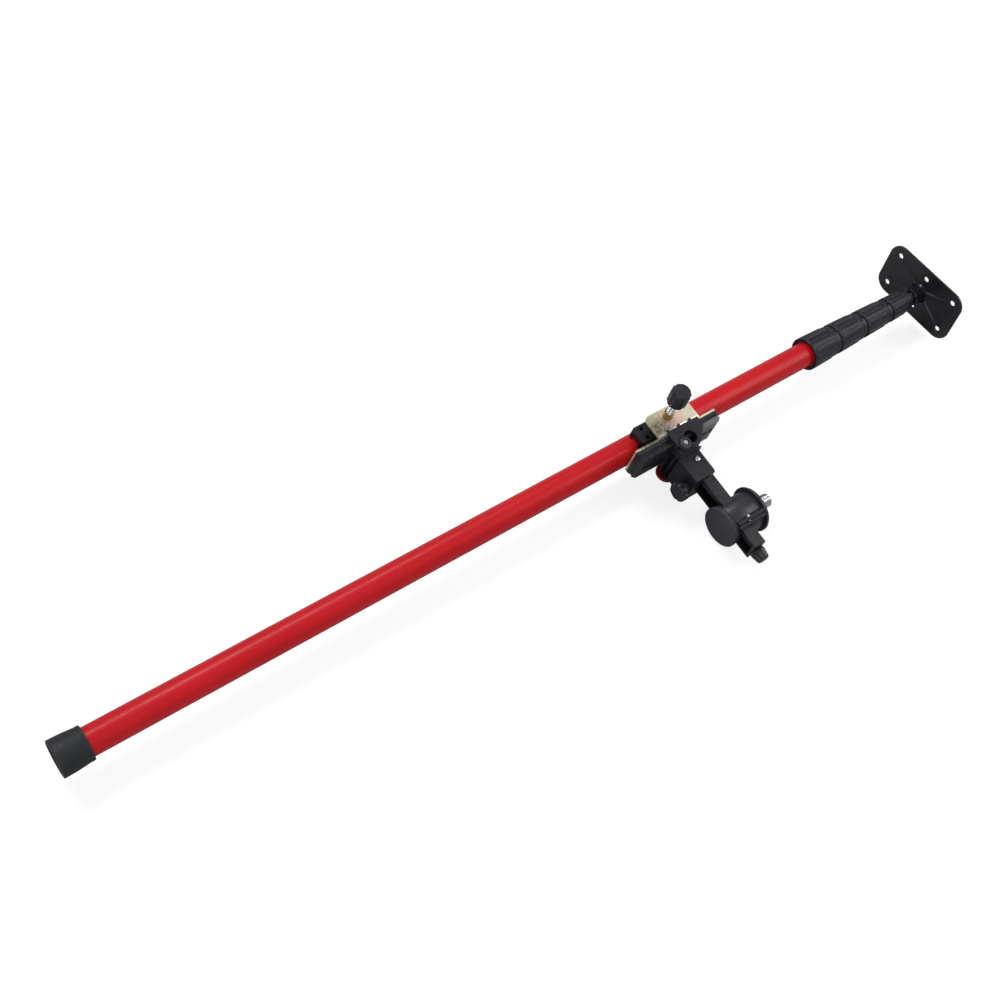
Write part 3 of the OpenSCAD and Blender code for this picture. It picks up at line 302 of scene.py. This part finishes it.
def bare_metal(name, color, roughness, lines):
    """Turned or drawn metal with fine lines, stretched where their scale is small."""
    p = Paint(name, color, roughness, metallic=1.0)
    tone = p.ramp(p.noise(14, 4), [(0.3, scaled(color, 0.82)), (0.7, scaled(color, 1.08))])
    p.drive("Base Color", p.edge_wear_and_highlight(tone, scaled(color, 1.2)))
    p.drive("Roughness", p.spread(p.noise(3, 5), roughness - 0.07, roughness + 0.12))
    p.bump(p.noise(0.5, 3, vector=p.stretched(lines)), 0.12, 0.03)
    return p.material


def shaft_steel():
    """Blackened steel, bare on the shaft's upper end."""
    p = Paint("blackened_shaft", DARK_STEEL, 0.3, metallic=1.0)
    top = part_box("pinion_shaft")[1].z / MM
    bare = p.along("Z", *(top - below for below in BARE_BELOW_TOP))
    p.drive("Base Color", p.blend(bare, DARK_STEEL, (0.82, 0.82, 0.84)))
    p.bump(p.noise(0.5, 3), 0.1, 0.03)
    return p.material


def anodised():
    """Black anodised aluminium, with a painted reflection: a paler band on the front of the
    guide bar's head end.
    """
    p = Paint("black_anodised", (0.009, 0.009, 0.011), 0.36, specular=0.4)
    tone = p.ramp(p.noise(26, 3), [(0.3, (0.007, 0.007, 0.009)), (0.7, (0.012, 0.012, 0.0145))])
    # Painted reflection: a paler band on the front of the guide bar's head end
    painted_sheen = p.math("MULTIPLY", p.along("X", *PAINTED_SHEEN_X), p.along("Y", *PAINTED_SHEEN_Y))
    tone = p.blend(painted_sheen, tone, (0.15, 0.15, 0.155))
    p.drive("Base Color", p.edge_wear_and_highlight(tone, (0.05, 0.05, 0.055), 0.4))
    p.drive("Roughness", p.spread(p.noise(5, 4), 0.28, 0.42))
    p.bump(p.noise(0.45, 3, vector=p.stretched((0.03, 1, 1))), 0.16, 0.03)
    return p.material


RED = red_paint()
RUBBER = black_rubber()
COLLAR = moulded("collar_plastic", (0.0125, 0.0125, 0.0155), 0.42, 0.34, specular=0.36)
NYLON = moulded("black_nylon", (0.009, 0.009, 0.0105), 0.44, specular=0.4)
PALE = moulded("pale_nylon", (0.72, 0.71, 0.66), 0.5, tint=1.06, edge=(0.8, 0.79, 0.75))
BODY = moulded("body_plastic", (0.012, 0.012, 0.0155), 0.42, 0.28, 0.03, specular=0.36)
DRUM = moulded("drum_plastic", (0.018, 0.0178, 0.0225), 0.38, 0.26, 0.025, specular=0.42)
KNOB = moulded("knob_plastic", (0.0135, 0.0135, 0.0165), 0.42, 0.36, specular=0.42)
# The lock disc's plastic is a lighter copy of the drum's, painted light for a face that sits in
# shade
DISC_PAINTED_LIGHT = moulded("disc_plastic_painted_light", (0.026, 0.026, 0.031), 0.4, 0.26, 0.025, specular=0.42)
# The knurled wheel's plastic is lighter than the body's and has pale ridge edges: painted light
# and painted highlights on a wheel the body shades
KNURL_PAINTED_HIGHLIGHT = moulded("knurled_plastic_painted_highlight", (0.028, 0.028, 0.032), 0.36, 0.3, 0.02, (0.30, 0.30, 0.31))
GLOSS = moulded("gloss_black", (0.008, 0.008, 0.0095), 0.24, 0.4, 0.012)
RED_PLASTIC = moulded("red_plastic", (0.17, 0.007, 0.005), 0.3, 0.4, 0.02,
                      (0.30, 0.02, 0.015), tint=1.2)
COAT = powder_coat()
ZINC = zinc_yellow()
ANODISED = anodised()

DRAWN, TURNED_X, TURNED_Z = (0.02, 1, 1), (1, 0.02, 0.02), (0.02, 0.02, 1)
TUBE_STEEL = bare_metal("bright_tube", (0.66, 0.67, 0.69), 0.26, DRAWN)
STEEL = bare_metal("bright_steel", (0.74, 0.74, 0.76), 0.24, TURNED_X)
BLACKENED = bare_metal("blackened_steel", DARK_STEEL, 0.34, TURNED_X)
BRASS = bare_metal("brass", (0.72, 0.55, 0.25), 0.3, TURNED_X)
GOLD = bare_metal("zinc_gold", (0.42, 0.33, 0.10), 0.24, TURNED_Z)


# Mesh tools


def piece(name, bm, place, body, material, sharp, node):
    """Turns a bmesh drawn in millimetres into a finished piece that rides on a body."""
    bmesh.ops.recalc_face_normals(bm, faces=bm.faces)
    bmesh.ops.transform(bm, matrix=Matrix.Scale(MM, 4) @ place, verts=bm.verts)
    mesh = bpy.data.meshes.new(name)
    bm.to_mesh(mesh)
    bm.free()
    mesh.shade_smooth()
    mesh.set_sharp_from_angle(angle=math.radians(sharp))
    mesh.materials.append(material)
    obj = bpy.data.objects.new(name, mesh)
    bpy.context.scene.collection.objects.link(obj)
    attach(obj, body)
    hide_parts(node)


def turned(rows, segs, shape=None, loop=False):
    """Solid from rows of (place, radius) turned about z; shape(a, k, z, r) may move a point."""
    bm = bmesh.new()
    rings = []
    for k, (z, r) in enumerate(rows):
        if r == 0:
            rings.append([bm.verts.new((0, 0, z))])
            continue
        ring = []
        for i in range(segs):
            a = TAU * i / segs
            zz, rr = shape(a, k, z, r) if shape else (z, r)
            ring.append(bm.verts.new((rr * math.cos(a), rr * math.sin(a), zz)))
        rings.append(ring)
    pairs = list(zip(rings, rings[1:])) + ([(rings[-1], rings[0])] if loop else [])
    for lower, upper in pairs:
        for i in range(segs):
            j = (i + 1) % segs
            corners = [lower[i % len(lower)], lower[j % len(lower)],
                       upper[j % len(upper)], upper[i % len(upper)]]
            corners = list(dict.fromkeys(corners))
            if len(corners) > 2:
                bm.faces.new(corners)
    return bm


def rounded(points, radius, steps=3):
    """Rows with each corner rounded; a corner may carry its own radius as a third value."""
    out = []
    for k, point in enumerate(points):
        here = Vector(point[:2])
        r = point[2] if len(point) > 2 else radius
        if k in (0, len(points) - 1) or not r:
            out.append(tuple(here))
            continue
        back, on = Vector(points[k - 1][:2]) - here, Vector(points[k + 1][:2]) - here
        r = min(r, back.length * 0.48, on.length * 0.48)
        a, b = here + back.normalized() * r, here + on.normalized() * r
        for i in range(steps + 1):
            f = i / steps
            out.append(tuple(a.lerp(here, f).lerp(here.lerp(b, f), f)))
    return out


def between(rows, first_over, last_over):
    """Numbers of the rows from the first past one radius to the last past another."""
    first = next(k for k, row in enumerate(rows) if row[1] > first_over)
    last = max(k for k, row in enumerate(rows) if row[1] > last_over)
    return range(first, last + 1)


def scallop(count, depth, sharpness, rows):
    """Flutes cut into some rows of a turned outline."""

    def shape(a, k, z, r):
        if k not in rows:
            return z, r
        wave = (0.5 + 0.5 * math.cos(a * count)) ** sharpness
        return z, r - depth * wave

    return shape


def threaded(r, pitch, z0, z1, depth, segs, starts=1, lead_in=0.0, steps=6):
    """Helical thread about z, crests at r, run out over lead_in at the far end."""
    lead = pitch * starts
    count = max(4, int((z1 - z0) / pitch * steps))
    rows = [(z0 + (z1 - z0) * i / count, r) for i in range(count + 1)]

    def shape(a, k, z, radius):
        phase = (z / lead - a / TAU) * starts % 1.0
        tooth = min(1, max(0, 2.6 * abs(phase - 0.5) * 2 - 0.8))
        cut = depth * (1 - tooth)
        taper = max(0, z - (z1 - lead_in)) if lead_in else 0
        return z, min(r - cut, r - taper)

    return turned([(z0, 0), *rows, (z1, 0)], segs, shape)


def merge(bm, other):
    """Adds another bmesh to bm."""
    joined = bpy.data.meshes.new("part")
    other.to_mesh(joined)
    other.free()
    bm.from_mesh(joined)
    bpy.data.meshes.remove(joined)


def screw_head(r, h):
    """Head with a cross recess, its seat at z 0: rings whose middle dips into the cross."""
    rows = [(0, 0), (0, r * 0.96), (h * 0.25, r), (h * 0.6, r * 0.97), (h * 0.9, r * 0.8),
            (h, r * 0.62), (h + 0.06, r * 0.5), (h + 0.09, r * 0.36), (h + 0.09, r * 0.2),
            (h + 0.09, 0)]

    def cross(a, k, z, radius):
        inside = k > 5 and (radius <= 0.3 * r or abs(math.sin(a * 2)) < 0.42)
        return (z - h * 0.55 if inside else z), radius

    bm = turned(rows, 40, cross)
    middle = min(bm.verts, key=lambda v: v.co.x ** 2 + v.co.y ** 2 - v.co.z)
    middle.co.z = h * 0.4
    return bm


def dress(node, material, width=0.0):
    """Gives a carried-over solid its material and, with a width, broken edges."""
    obj = frame["nodes"][node]
    obj.data.materials[0] = material
    if not width:
        return
    weld = obj.modifiers.new("weld", "WELD")
    weld.merge_threshold = 0.000002
    edge = obj.modifiers.new("edges", "BEVEL")
    edge.width = width * MM
    edge.limit_method = "ANGLE"
    edge.angle_limit = math.radians(38)
    edge.segments = 2
    edge.use_clamp_overlap = False
    edge.harden_normals = True


# The pole


def foot():
    """Foot cap with ring grooves and treads underneath and a lip round its open end."""

    def treads(a, k, z, r):
        if 9 <= k <= 12 and (a * 28 / TAU) % 1 < 0.3:
            return z + 0.5, r
        return z, r

    rows = [(0.7, 0), (0.7, 6.2), (0.3, 6.6), (0.3, 7.6), (1.3, 8.0), (1.3, 9.4), (0, 9.9),
            (0, 10.4), (0.9, 10.9), (0.9, 11.0), (0.2, 11.4), (0.2, 12.6), (0.9, 13.0),
            (1.4, 13.4), (1.4, 14.6), (0, 15.1), (0, 16.4)]
    rows += rounded([(0, 16.6), (0, 19.45, 2.2), (14, 19.1, 4), (28, 17.8, 0.6),
                     (28.4, 18.1, 0.3), (31.6, 17.9, 0.5), (31.9, 16.2, 0.4), (31.3, 15.1)], 0.5)
    rows += [(8, 15.1), (6.2, 14.2), (6.2, 0)]
    piece("foot_cap_rubber", turned(rows, 112, treads), TO_X, "pole_base", RUBBER,
          50, "foot_cap")


def outer_tube():
    """Largest tube, with eased rims."""
    rows = rounded([(6.2, 13.95), (6, 14.5, 0.3), (6.2, 15, 0.2), (30, 15, 0),
                    (989.3, 15, 0.4), (990, 14.4, 0.3), (989.8, 13.95)], 0.2)
    rows += [(989.6, 13.95), (400, 13.95), (30, 13.95)]
    piece("tube_outer", turned(rows, 128, loop=True), TO_X, "pole_base", RED, 40,
          "tube_1")


def grip_collar(number, x0, x1, r):
    """Collar with twelve raised pads, each with two fine grip lines, and a lip at both ends."""
    big, small, bore = r + 5.6, r + 4.5, r + 2.15
    pads, rise, steps = 12, 1.0, 22
    half_pad, pad_edge = math.radians(7.0), math.radians(1.6)
    line, half_line, line_depth = math.radians(2.6), math.radians(0.8), 0.28
    start, length = x0 + 3.0, x1 - x0 - 6.6

    rows = rounded([(x0 + 2.1, bore + 0.1), (x0 + 0.2, bore + 2.2, 0.3), (x0, bore + 2.6, 0.2),
                    (x0, big - 0.5, 0.5), (x0 + 1.1, big, 0.6), (x0 + 2.2, big - 0.05, 0.4),
                    (x0 + 2.9, big - rise, 0.2)], 0.3)
    first = len(rows)
    rows += [(start + length * f, big - rise + (small - big) * f)
             for f in (i / steps for i in range(steps + 1))]
    low = small - rise
    rows += rounded([(x1 - 3.4, low), (x1 - 2.9, low + 0.45, 0.2), (x1 - 1.4, low + 0.45, 0.3),
                     (x1 - 0.9, low, 0.2), (x1 - 0.2, low - 0.2, 0.3), (x1, low - 0.7, 0.2),
                     (x1, bore + 0.1, 0.2)], 0.2, 2)
    rows += [(x1 - 1, bore + 0.1), ((x0 + x1) / 2, bore + 0.1)]

    def grip(a, k, z, radius):
        if not first <= k <= first + steps:
            return z, radius
        f = (z - start) / length
        angle = abs((a * pads / TAU + 0.5) % 1 - 0.5) * TAU / pads
        side = min(1, max(0, (half_pad - angle) / pad_edge))
        ends = min(1, max(0, f / 0.03), max(0, (0.965 - f) / 0.05))
        pad = side * side * (3 - 2 * side) * ends
        near = abs(angle - line) / half_line
        groove = line_depth * (1 - near * near) if near < 1 and 0.08 < f < 0.88 else 0
        return z, radius + rise * pad - groove

    piece("grip_collar_%d" % number, turned(rows, 336, grip, loop=True), TO_X,
          "lock_%d" % number, COLLAR, 38, "collar_%d" % number)


# The bracket


def knob_screw_rod():
    """Clamp screw with its thread and a turned nose in the block."""
    bm = threaded(3.98, 1.25, 1.2, 65.5, 0.62, 40)
    merge(bm, turned([(0, 0), (0, 2.6), (1.2, 3.3), (1.3, 0)], 40))
    piece("clamp_screw_rod", bm, at(CLAMP_U, 0, CLAMP_SOCKET_T), "clamp_handle", STEEL,
          60, "clamp_screw")


def clamp_knob():
    """Knob with twelve shallow facets, a chamfer round its flat top and a short neck."""
    rows = rounded([(-2, 4.05), (-2, 7.4, 0.4), (-0.2, 7.9, 0.3), (0, 9.6, 0.4),
                    (1.4, 11.1, 0.9), (11, 11.5, 3), (21.2, 11.4, 0.8), (22.9, 9.7, 0.5),
                    (23, 9.2, 0.2), (22.8, 8.9, 0.1), (22.8, 0)], 0.3)
    faceted = between(rows, 9.2, 9.6)

    def facets(a, k, z, r):
        if k not in faceted:
            return z, r
        part = (a * 12 / TAU + 0.5) % 1 - 0.5
        return z, r * (1 - 0.068 * (1 - (2 * abs(part)) ** 2.4))

    piece("clamp_knob_grip", turned(rows, 240, facets), at(CLAMP_U, 0, CLAMP_KNOB_T),
          "clamp_handle", KNOB, 28, "clamp_knob")


def hexagon_nut():
    """Nut with chamfered corners and a plain bore."""
    rows = [(0, 4.06), (0, 6.5), (6.6, 6.5), (7.9, 5.6), (8.0, 5.2), (8.0, 4.6), (7.3, 4.06)]

    def hexed(a, k, z, r):
        flat = 5.62 / math.cos((a + math.pi / 6) % (math.pi / 3) - math.pi / 6)
        if not 1 <= k <= 3:
            return z, r
        drop = max(0, flat - 6.05) * 1.1 if k == 2 else 0
        reach = min(flat, 5.95) if k == 3 else flat
        return z - drop, min(reach, 6.49)

    piece("hexagon_nut", turned(rows, 96, hexed, loop=True), at(CLAMP_U, 0, FLANGE_T),
          "bracket", GOLD, 28, "weld_nut")


def knurled_wheel():
    """Thumb wheel with a coarse knurl and a dished top round the shaft's end."""
    rows = rounded([(0, 2.52), (0, 6.7, 0.3), (0.4, 7.45, 0.2), (5.5, 7.45, 0.3), (6, 6.8, 0.3),
                    (6, 5.4, 0.2), (4.2, 4.6, 0.2), (4.2, 2.52)], 0.3, 2)
    bm = turned(rows, 216, scallop(14, 1.1, 0.8, range(3, 15)), loop=True)
    piece("fine_wheel_knurl", bm, at(WHEEL_U, WHEEL_S, WHEEL_T), "fine_drive", KNURL_PAINTED_HIGHLIGHT,
          25, "fine_wheel")


def red_disc():
    """Flat fluted wheel on the lower end of the shaft."""
    rows = rounded([(0, 2.52), (0, 11.5, 0.4), (0.8, 12.45, 0.4), (3.4, 12.45, 0.4),
                    (4, 11.8, 0.4), (4, 9.2, 0.2), (3.5, 8.8, 0.2), (3.5, 5.2, 0.2),
                    (4, 4.8, 0.2), (4, 2.52)], 0.3, 2)
    bm = turned(rows, 180, scallop(30, 0.38, 1.5, range(4, 13)), loop=True)
    piece("red_wheel_disc", bm, at(WHEEL_U, WHEEL_S, RED_WHEEL_T), "fine_drive", RED_PLASTIC,
          30, "red_wheel")


def rail_knob():
    """Seven-lobed knob with a domed face, drawn towards the foot."""
    rows = rounded([(0, 3.02), (0, 8.4, 0.4), (0.8, 10.8, 0.5), (1.6, 11.85, 0.6),
                    (6, 11.95, 1), (9.0, 11.3, 1.4), (10.6, 8.6, 1.2), (11, 6.0, 0.6),
                    (11, 0)], 0.4)
    lobed = between(rows, 9.6, 8.4)

    def lobes(a, k, z, r):
        if k not in lobed:
            return z, r
        return z, r - 1.9 * max(0, math.cos(a * 7)) ** 1.5

    piece("rail_lock_grip", turned(rows, 196, lobes), at(LOCK_U, LOCK_S, LOCK_T, TO_FOOT),
          "rail_lock", KNOB, 34, "rail_lock_knob")


def arm_knob():
    """Tapered knob with ten flutes at the rail's end."""
    rows = rounded([(0, 3.54), (0, 7.8, 0.4), (0.9, 8.9, 0.5), (3.0, 9, 0.8), (12.4, 7.4, 0.8),
                    (13.8, 5.8, 0.8), (14, 3.4, 0.4), (13.6, 3.0, 0.2), (13.6, 0)], 0.4)
    bm = turned(rows, 180, scallop(10, 0.8, 1.0, between(rows, 8.2, 6.4)))
    piece("arm_knob_grip", bm, at(LEAD_U, RAIL_END + 0.5, LEAD_T, TO_ARM), "arm_drive", GLOSS,
          30, "end_knob")


def arm_screw():
    """Lead screw with four starts and a plain journal at both ends."""
    bm = threaded(3.47, 2.0, 0.5, 122.5, 0.5, 40, starts=4, steps=5)
    merge(bm, turned([(-0.4, 0), (-0.4, 2.7), (0.5, 3.1), (0.6, 0)], 40))
    merge(bm, turned([(122, 0), (122, 3.2), (129, 3.2), (129, 0)], 40))
    piece("arm_screw_thread", bm, at(LEAD_U, RAIL_START + 1.0, LEAD_T, TO_ARM), "arm_drive",
          BLACKENED, 60, "lead_screw")


def lock_disc():
    """Flat lock knob with a finely fluted rim."""
    rows = rounded([(0, 4.04), (0, 23.1, 0.3), (0.6, 23.9, 0.3), (4.2, 23.9, 0.4),
                    (5, 23.1, 0.4), (5, 21.8, 0.3), (4.45, 21.4, 0.3), (4.4, 5, 0),
                    (4.4, 0)], 0.3, 2)
    bm = turned(rows, 360, scallop(60, 0.55, 1.4, range(4, 12)))
    piece("head_lock_disc", bm, at(DISC_U, HEAD_S, 0, TO_FOOT), "head_lock", DISC_PAINTED_LIGHT,
          24, "head_lock_knob")


def table_top():
    """Platform with a raised grip ring and fine turned rings on its face."""
    rows = rounded([(-15, 0), (-15, 11.4, 0.5), (-14.4, 12, 0.3), (0, 12, 0.2),
                    (0.05, 26.2, 0.4), (0.7, 27, 0.4), (2.9, 27, 0.4), (3.5, 26.3, 0.3),
                    (3.5, 25.85, 0.1), (4.5, 25.7, 0.2), (4.7, 25.2, 0.2), (4.7, 24.0, 0.2),
                    (4.5, 23.5, 0.2), (3.5, 23.35, 0.1), (3.5, 22.6, 0.05)], 0.25, 2)
    ring = 22.0
    while ring > 9:
        rows += [(3.5, ring), (3.38, ring - 0.25), (3.38, ring - 0.55), (3.5, ring - 0.8)]
        ring -= 1.8
    rows += [(3.5, 6.05), (-8.5, 6.05), (-8.5, 0)]
    piece("table_top", turned(rows, 144), at(TABLE_U, HEAD_S, 0, TO_X), "stand", DRUM,
          30, "platform")


def tripod_stud():
    """Threaded stud with its shank and a collar on the platform."""
    bm = threaded(7.93, 2.309, 0.3, 24.9, 1.25, 64, lead_in=2.0, steps=8)
    merge(bm, turned([(-12, 0), (-12, 6), (0.3, 6), (0.35, 0)], 48))
    merge(bm, turned([(0, 0), (0, 7.4), (0.5, 7.4), (0.55, 0)], 48))
    piece("tripod_stud", bm, at(STUD_U, HEAD_S, 0, TO_X), "stand", STEEL, 60,
          "stud")


def small_screws():
    """Screws with cross recesses on the carriage and through the drum's ears."""
    bm = screw_head(3.38, 1.7)
    merge(bm, turned([(-7, 0), (-7, 2), (0.05, 2), (0.1, 0)], 32))
    piece("tension_screw_head", bm, at(*TENSION), "fine_slide", STEEL, 30,
          "tension_screw")
    seat = Matrix.Translation((PINCH_U, -PINCH_OUT, PINCH_LENGTH - PINCH_FOOT))
    place = at(0, HEAD_S, 0) @ Matrix.Rotation(-EAR_TURN, 4, "X") @ seat
    bm = screw_head(2.38, 1.5)
    merge(bm, turned([(-PINCH_LENGTH, 0), (-PINCH_LENGTH, 1.5), (0.05, 1.5), (0.1, 0)], 32))
    piece("pinch_screw_head", bm, place, "turning_head", STEEL, 30,
          "pinch_screw")


# Build

foot()
outer_tube()
for number, (start, end, tube_radius) in enumerate(
        ((957, 999.5, 15), (1004.5, 1047, 13.4), (1052, 1094.5, 11.8), (1099.5, 1132, 10.2)), 1):
    grip_collar(number, start, end, tube_radius)
knob_screw_rod()
clamp_knob()
hexagon_nut()
knurled_wheel()
red_disc()
rail_knob()
arm_knob()
arm_screw()
lock_disc()
table_top()
tripod_stud()
small_screws()

for k in (2, 3, 4, 5):
    dress("tube_%d" % k, TUBE_STEEL)
    dress("guide_plug_%d" % k, PALE)
for k in (1, 2, 3, 4):
    dress("collet_%d" % k, NYLON)
for node, material, width in (
        ("ball_stud", BLACKENED, 0),
        ("ball_socket", GLOSS, 0),
        ("head_plate", COAT, 0.4),
        ("clamp_plate", ZINC, 0.12),
        ("saddle_pad", RUBBER, 0.3),
        ("pressure_block", BODY, 0.8),
        ("guide_bar", ANODISED, 0.4),
        ("bar_screws", STEEL, 0.2),
        ("slide_body", BODY, 0),
        ("pinion_shaft", shaft_steel(), 0),
        ("carriage", BODY, 0.4),
        ("carriage_screws", STEEL, 0.15),
        ("rail_gib", BRASS, 0.15),
        ("rail_lock_screw", STEEL, 0.2),
        ("rail", ANODISED, 0.4),
        ("lead_nut", BRASS, 0.2),
        ("head_housing", DRUM, 0.5),
        ("head_lock_screw", STEEL, 0.2)):
    dress(node, material, width)


# Camera, floor and light


def camera():
    """Camera fitted to the photograph."""
    data = bpy.data.cameras.new("camera")
    data.sensor_width = 36
    data.lens = 47.88
    obj = bpy.data.objects.new("camera", data)
    forward = Vector((0.4175, 0.3840, -0.8236)).normalized()
    right = Vector((0.8017, -0.5823, 0.1350))
    right = (right - forward * right.dot(forward)).normalized()
    up = right.cross(forward)
    turn = Matrix((right, up, -forward)).transposed().to_4x4()
    obj.matrix_world = Matrix.Translation((-0.0783, -0.5266, 1.1715)) @ turn
    bpy.context.scene.collection.objects.link(obj)
    bpy.context.scene.camera = obj


def floor(z):
    """White floor with a faint shadow near the part, fading into the background far from it."""
    middle, reach = 0.6, 6.0
    near, far = 1.6, 4.2
    near_glow, far_glow = 0.80, 1.0

    bm = bmesh.new()
    bm.faces.new([bm.verts.new((x * reach + middle, y * reach, z))
                  for x, y in ((-1, -1), (1, -1), (1, 1), (-1, 1))])
    mesh = bpy.data.meshes.new("floor")
    bm.to_mesh(mesh)
    bm.free()
    material = bpy.data.materials.new("floor")
    material.use_nodes = True
    nodes, links = material.node_tree.nodes, material.node_tree.links
    nodes.clear()
    out = nodes.new("ShaderNodeOutputMaterial")
    lit = nodes.new("ShaderNodeBsdfDiffuse")
    lit.inputs["Color"].default_value = (0.30, 0.30, 0.30, 1)
    glow = nodes.new("ShaderNodeEmission")
    both = nodes.new("ShaderNodeAddShader")
    plain = nodes.new("ShaderNodeBsdfDiffuse")
    plain.inputs["Color"].default_value = (0.5, 0.5, 0.52, 1)
    seen = nodes.new("ShaderNodeMixShader")
    rays = nodes.new("ShaderNodeLightPath")
    either = nodes.new("ShaderNodeMath")
    either.operation = "MAXIMUM"
    place = nodes.new("ShaderNodeTexCoord")
    away = nodes.new("ShaderNodeVectorMath")
    away.operation = "DISTANCE"
    away.inputs[1].default_value = (middle, 0, z)
    fade = nodes.new("ShaderNodeMapRange")
    fade.interpolation_type = "SMOOTHSTEP"
    for socket, value in (("From Min", near), ("From Max", far),
                          ("To Min", near_glow), ("To Max", far_glow)):
        fade.inputs[socket].default_value = value
    links.new(place.outputs["Object"], away.inputs[0])
    links.new(away.outputs["Value"], fade.inputs["Value"])
    links.new(fade.outputs["Result"], glow.inputs["Strength"])
    links.new(rays.outputs["Is Camera Ray"], either.inputs[0])
    links.new(rays.outputs["Is Transmission Ray"], either.inputs[1])
    links.new(lit.outputs[0], both.inputs[0])
    links.new(glow.outputs[0], both.inputs[1])
    links.new(either.outputs[0], seen.inputs["Fac"])
    links.new(plain.outputs[0], seen.inputs[1])
    links.new(both.outputs[0], seen.inputs[2])
    links.new(seen.outputs[0], out.inputs["Surface"])
    mesh.materials.append(material)
    obj = bpy.data.objects.new("floor", mesh)
    bpy.context.scene.collection.objects.link(obj)


def world():
    """White behind the part, a dimmer cool grey in its light and its reflections."""
    w = bpy.data.worlds.new("studio")
    bpy.context.scene.world = w
    w.use_nodes = True
    nodes, links = w.node_tree.nodes, w.node_tree.links
    nodes.clear()
    out = nodes.new("ShaderNodeOutputWorld")
    dim = nodes.new("ShaderNodeBackground")
    dim.inputs["Color"].default_value = (0.62, 0.64, 0.70, 1)
    dim.inputs["Strength"].default_value = 0.46
    white = nodes.new("ShaderNodeBackground")
    white.inputs["Color"].default_value = (1, 1, 1, 1)
    white.inputs["Strength"].default_value = 1.0
    mix = nodes.new("ShaderNodeMixShader")
    rays = nodes.new("ShaderNodeLightPath")
    links.new(rays.outputs["Is Camera Ray"], mix.inputs["Fac"])
    links.new(dim.outputs[0], mix.inputs[1])
    links.new(white.outputs[0], mix.inputs[2])
    links.new(mix.outputs[0], out.inputs["Surface"])


def lamp(name, where, target, size, power, color=(1, 1, 1)):
    """Rectangular lamp turned towards a target."""
    data = bpy.data.lights.new(name, "AREA")
    data.shape = "RECTANGLE"
    data.size, data.size_y = size
    data.energy = power
    data.color = color
    obj = bpy.data.objects.new(name, data)
    obj.location = where
    aim = Vector(target) - Vector(where)
    obj.rotation_mode = "QUATERNION"
    obj.rotation_quaternion = aim.to_track_quat("-Z", "Y")
    bpy.context.scene.collection.objects.link(obj)


FLOOR_GAP = 0.0005

camera()
floor(cad_box[0].z - FLOOR_GAP)
world()
lamp("key", (0.5, 1.3, 2.2), (0.8, 0, 0), (2.2, 0.45), 40)
lamp("fill", (-0.7, -1.6, 1.6), (0.7, 0, 0), (1.6, 1.6), 13, (0.96, 0.98, 1))
lamp("rim", (2.3, -0.7, 1.4), (0.9, 0, 0), (1.2, 1.2), 17)

bpy.context.scene.view_settings.view_transform = "Standard"

bpy.context.view_layer.update()
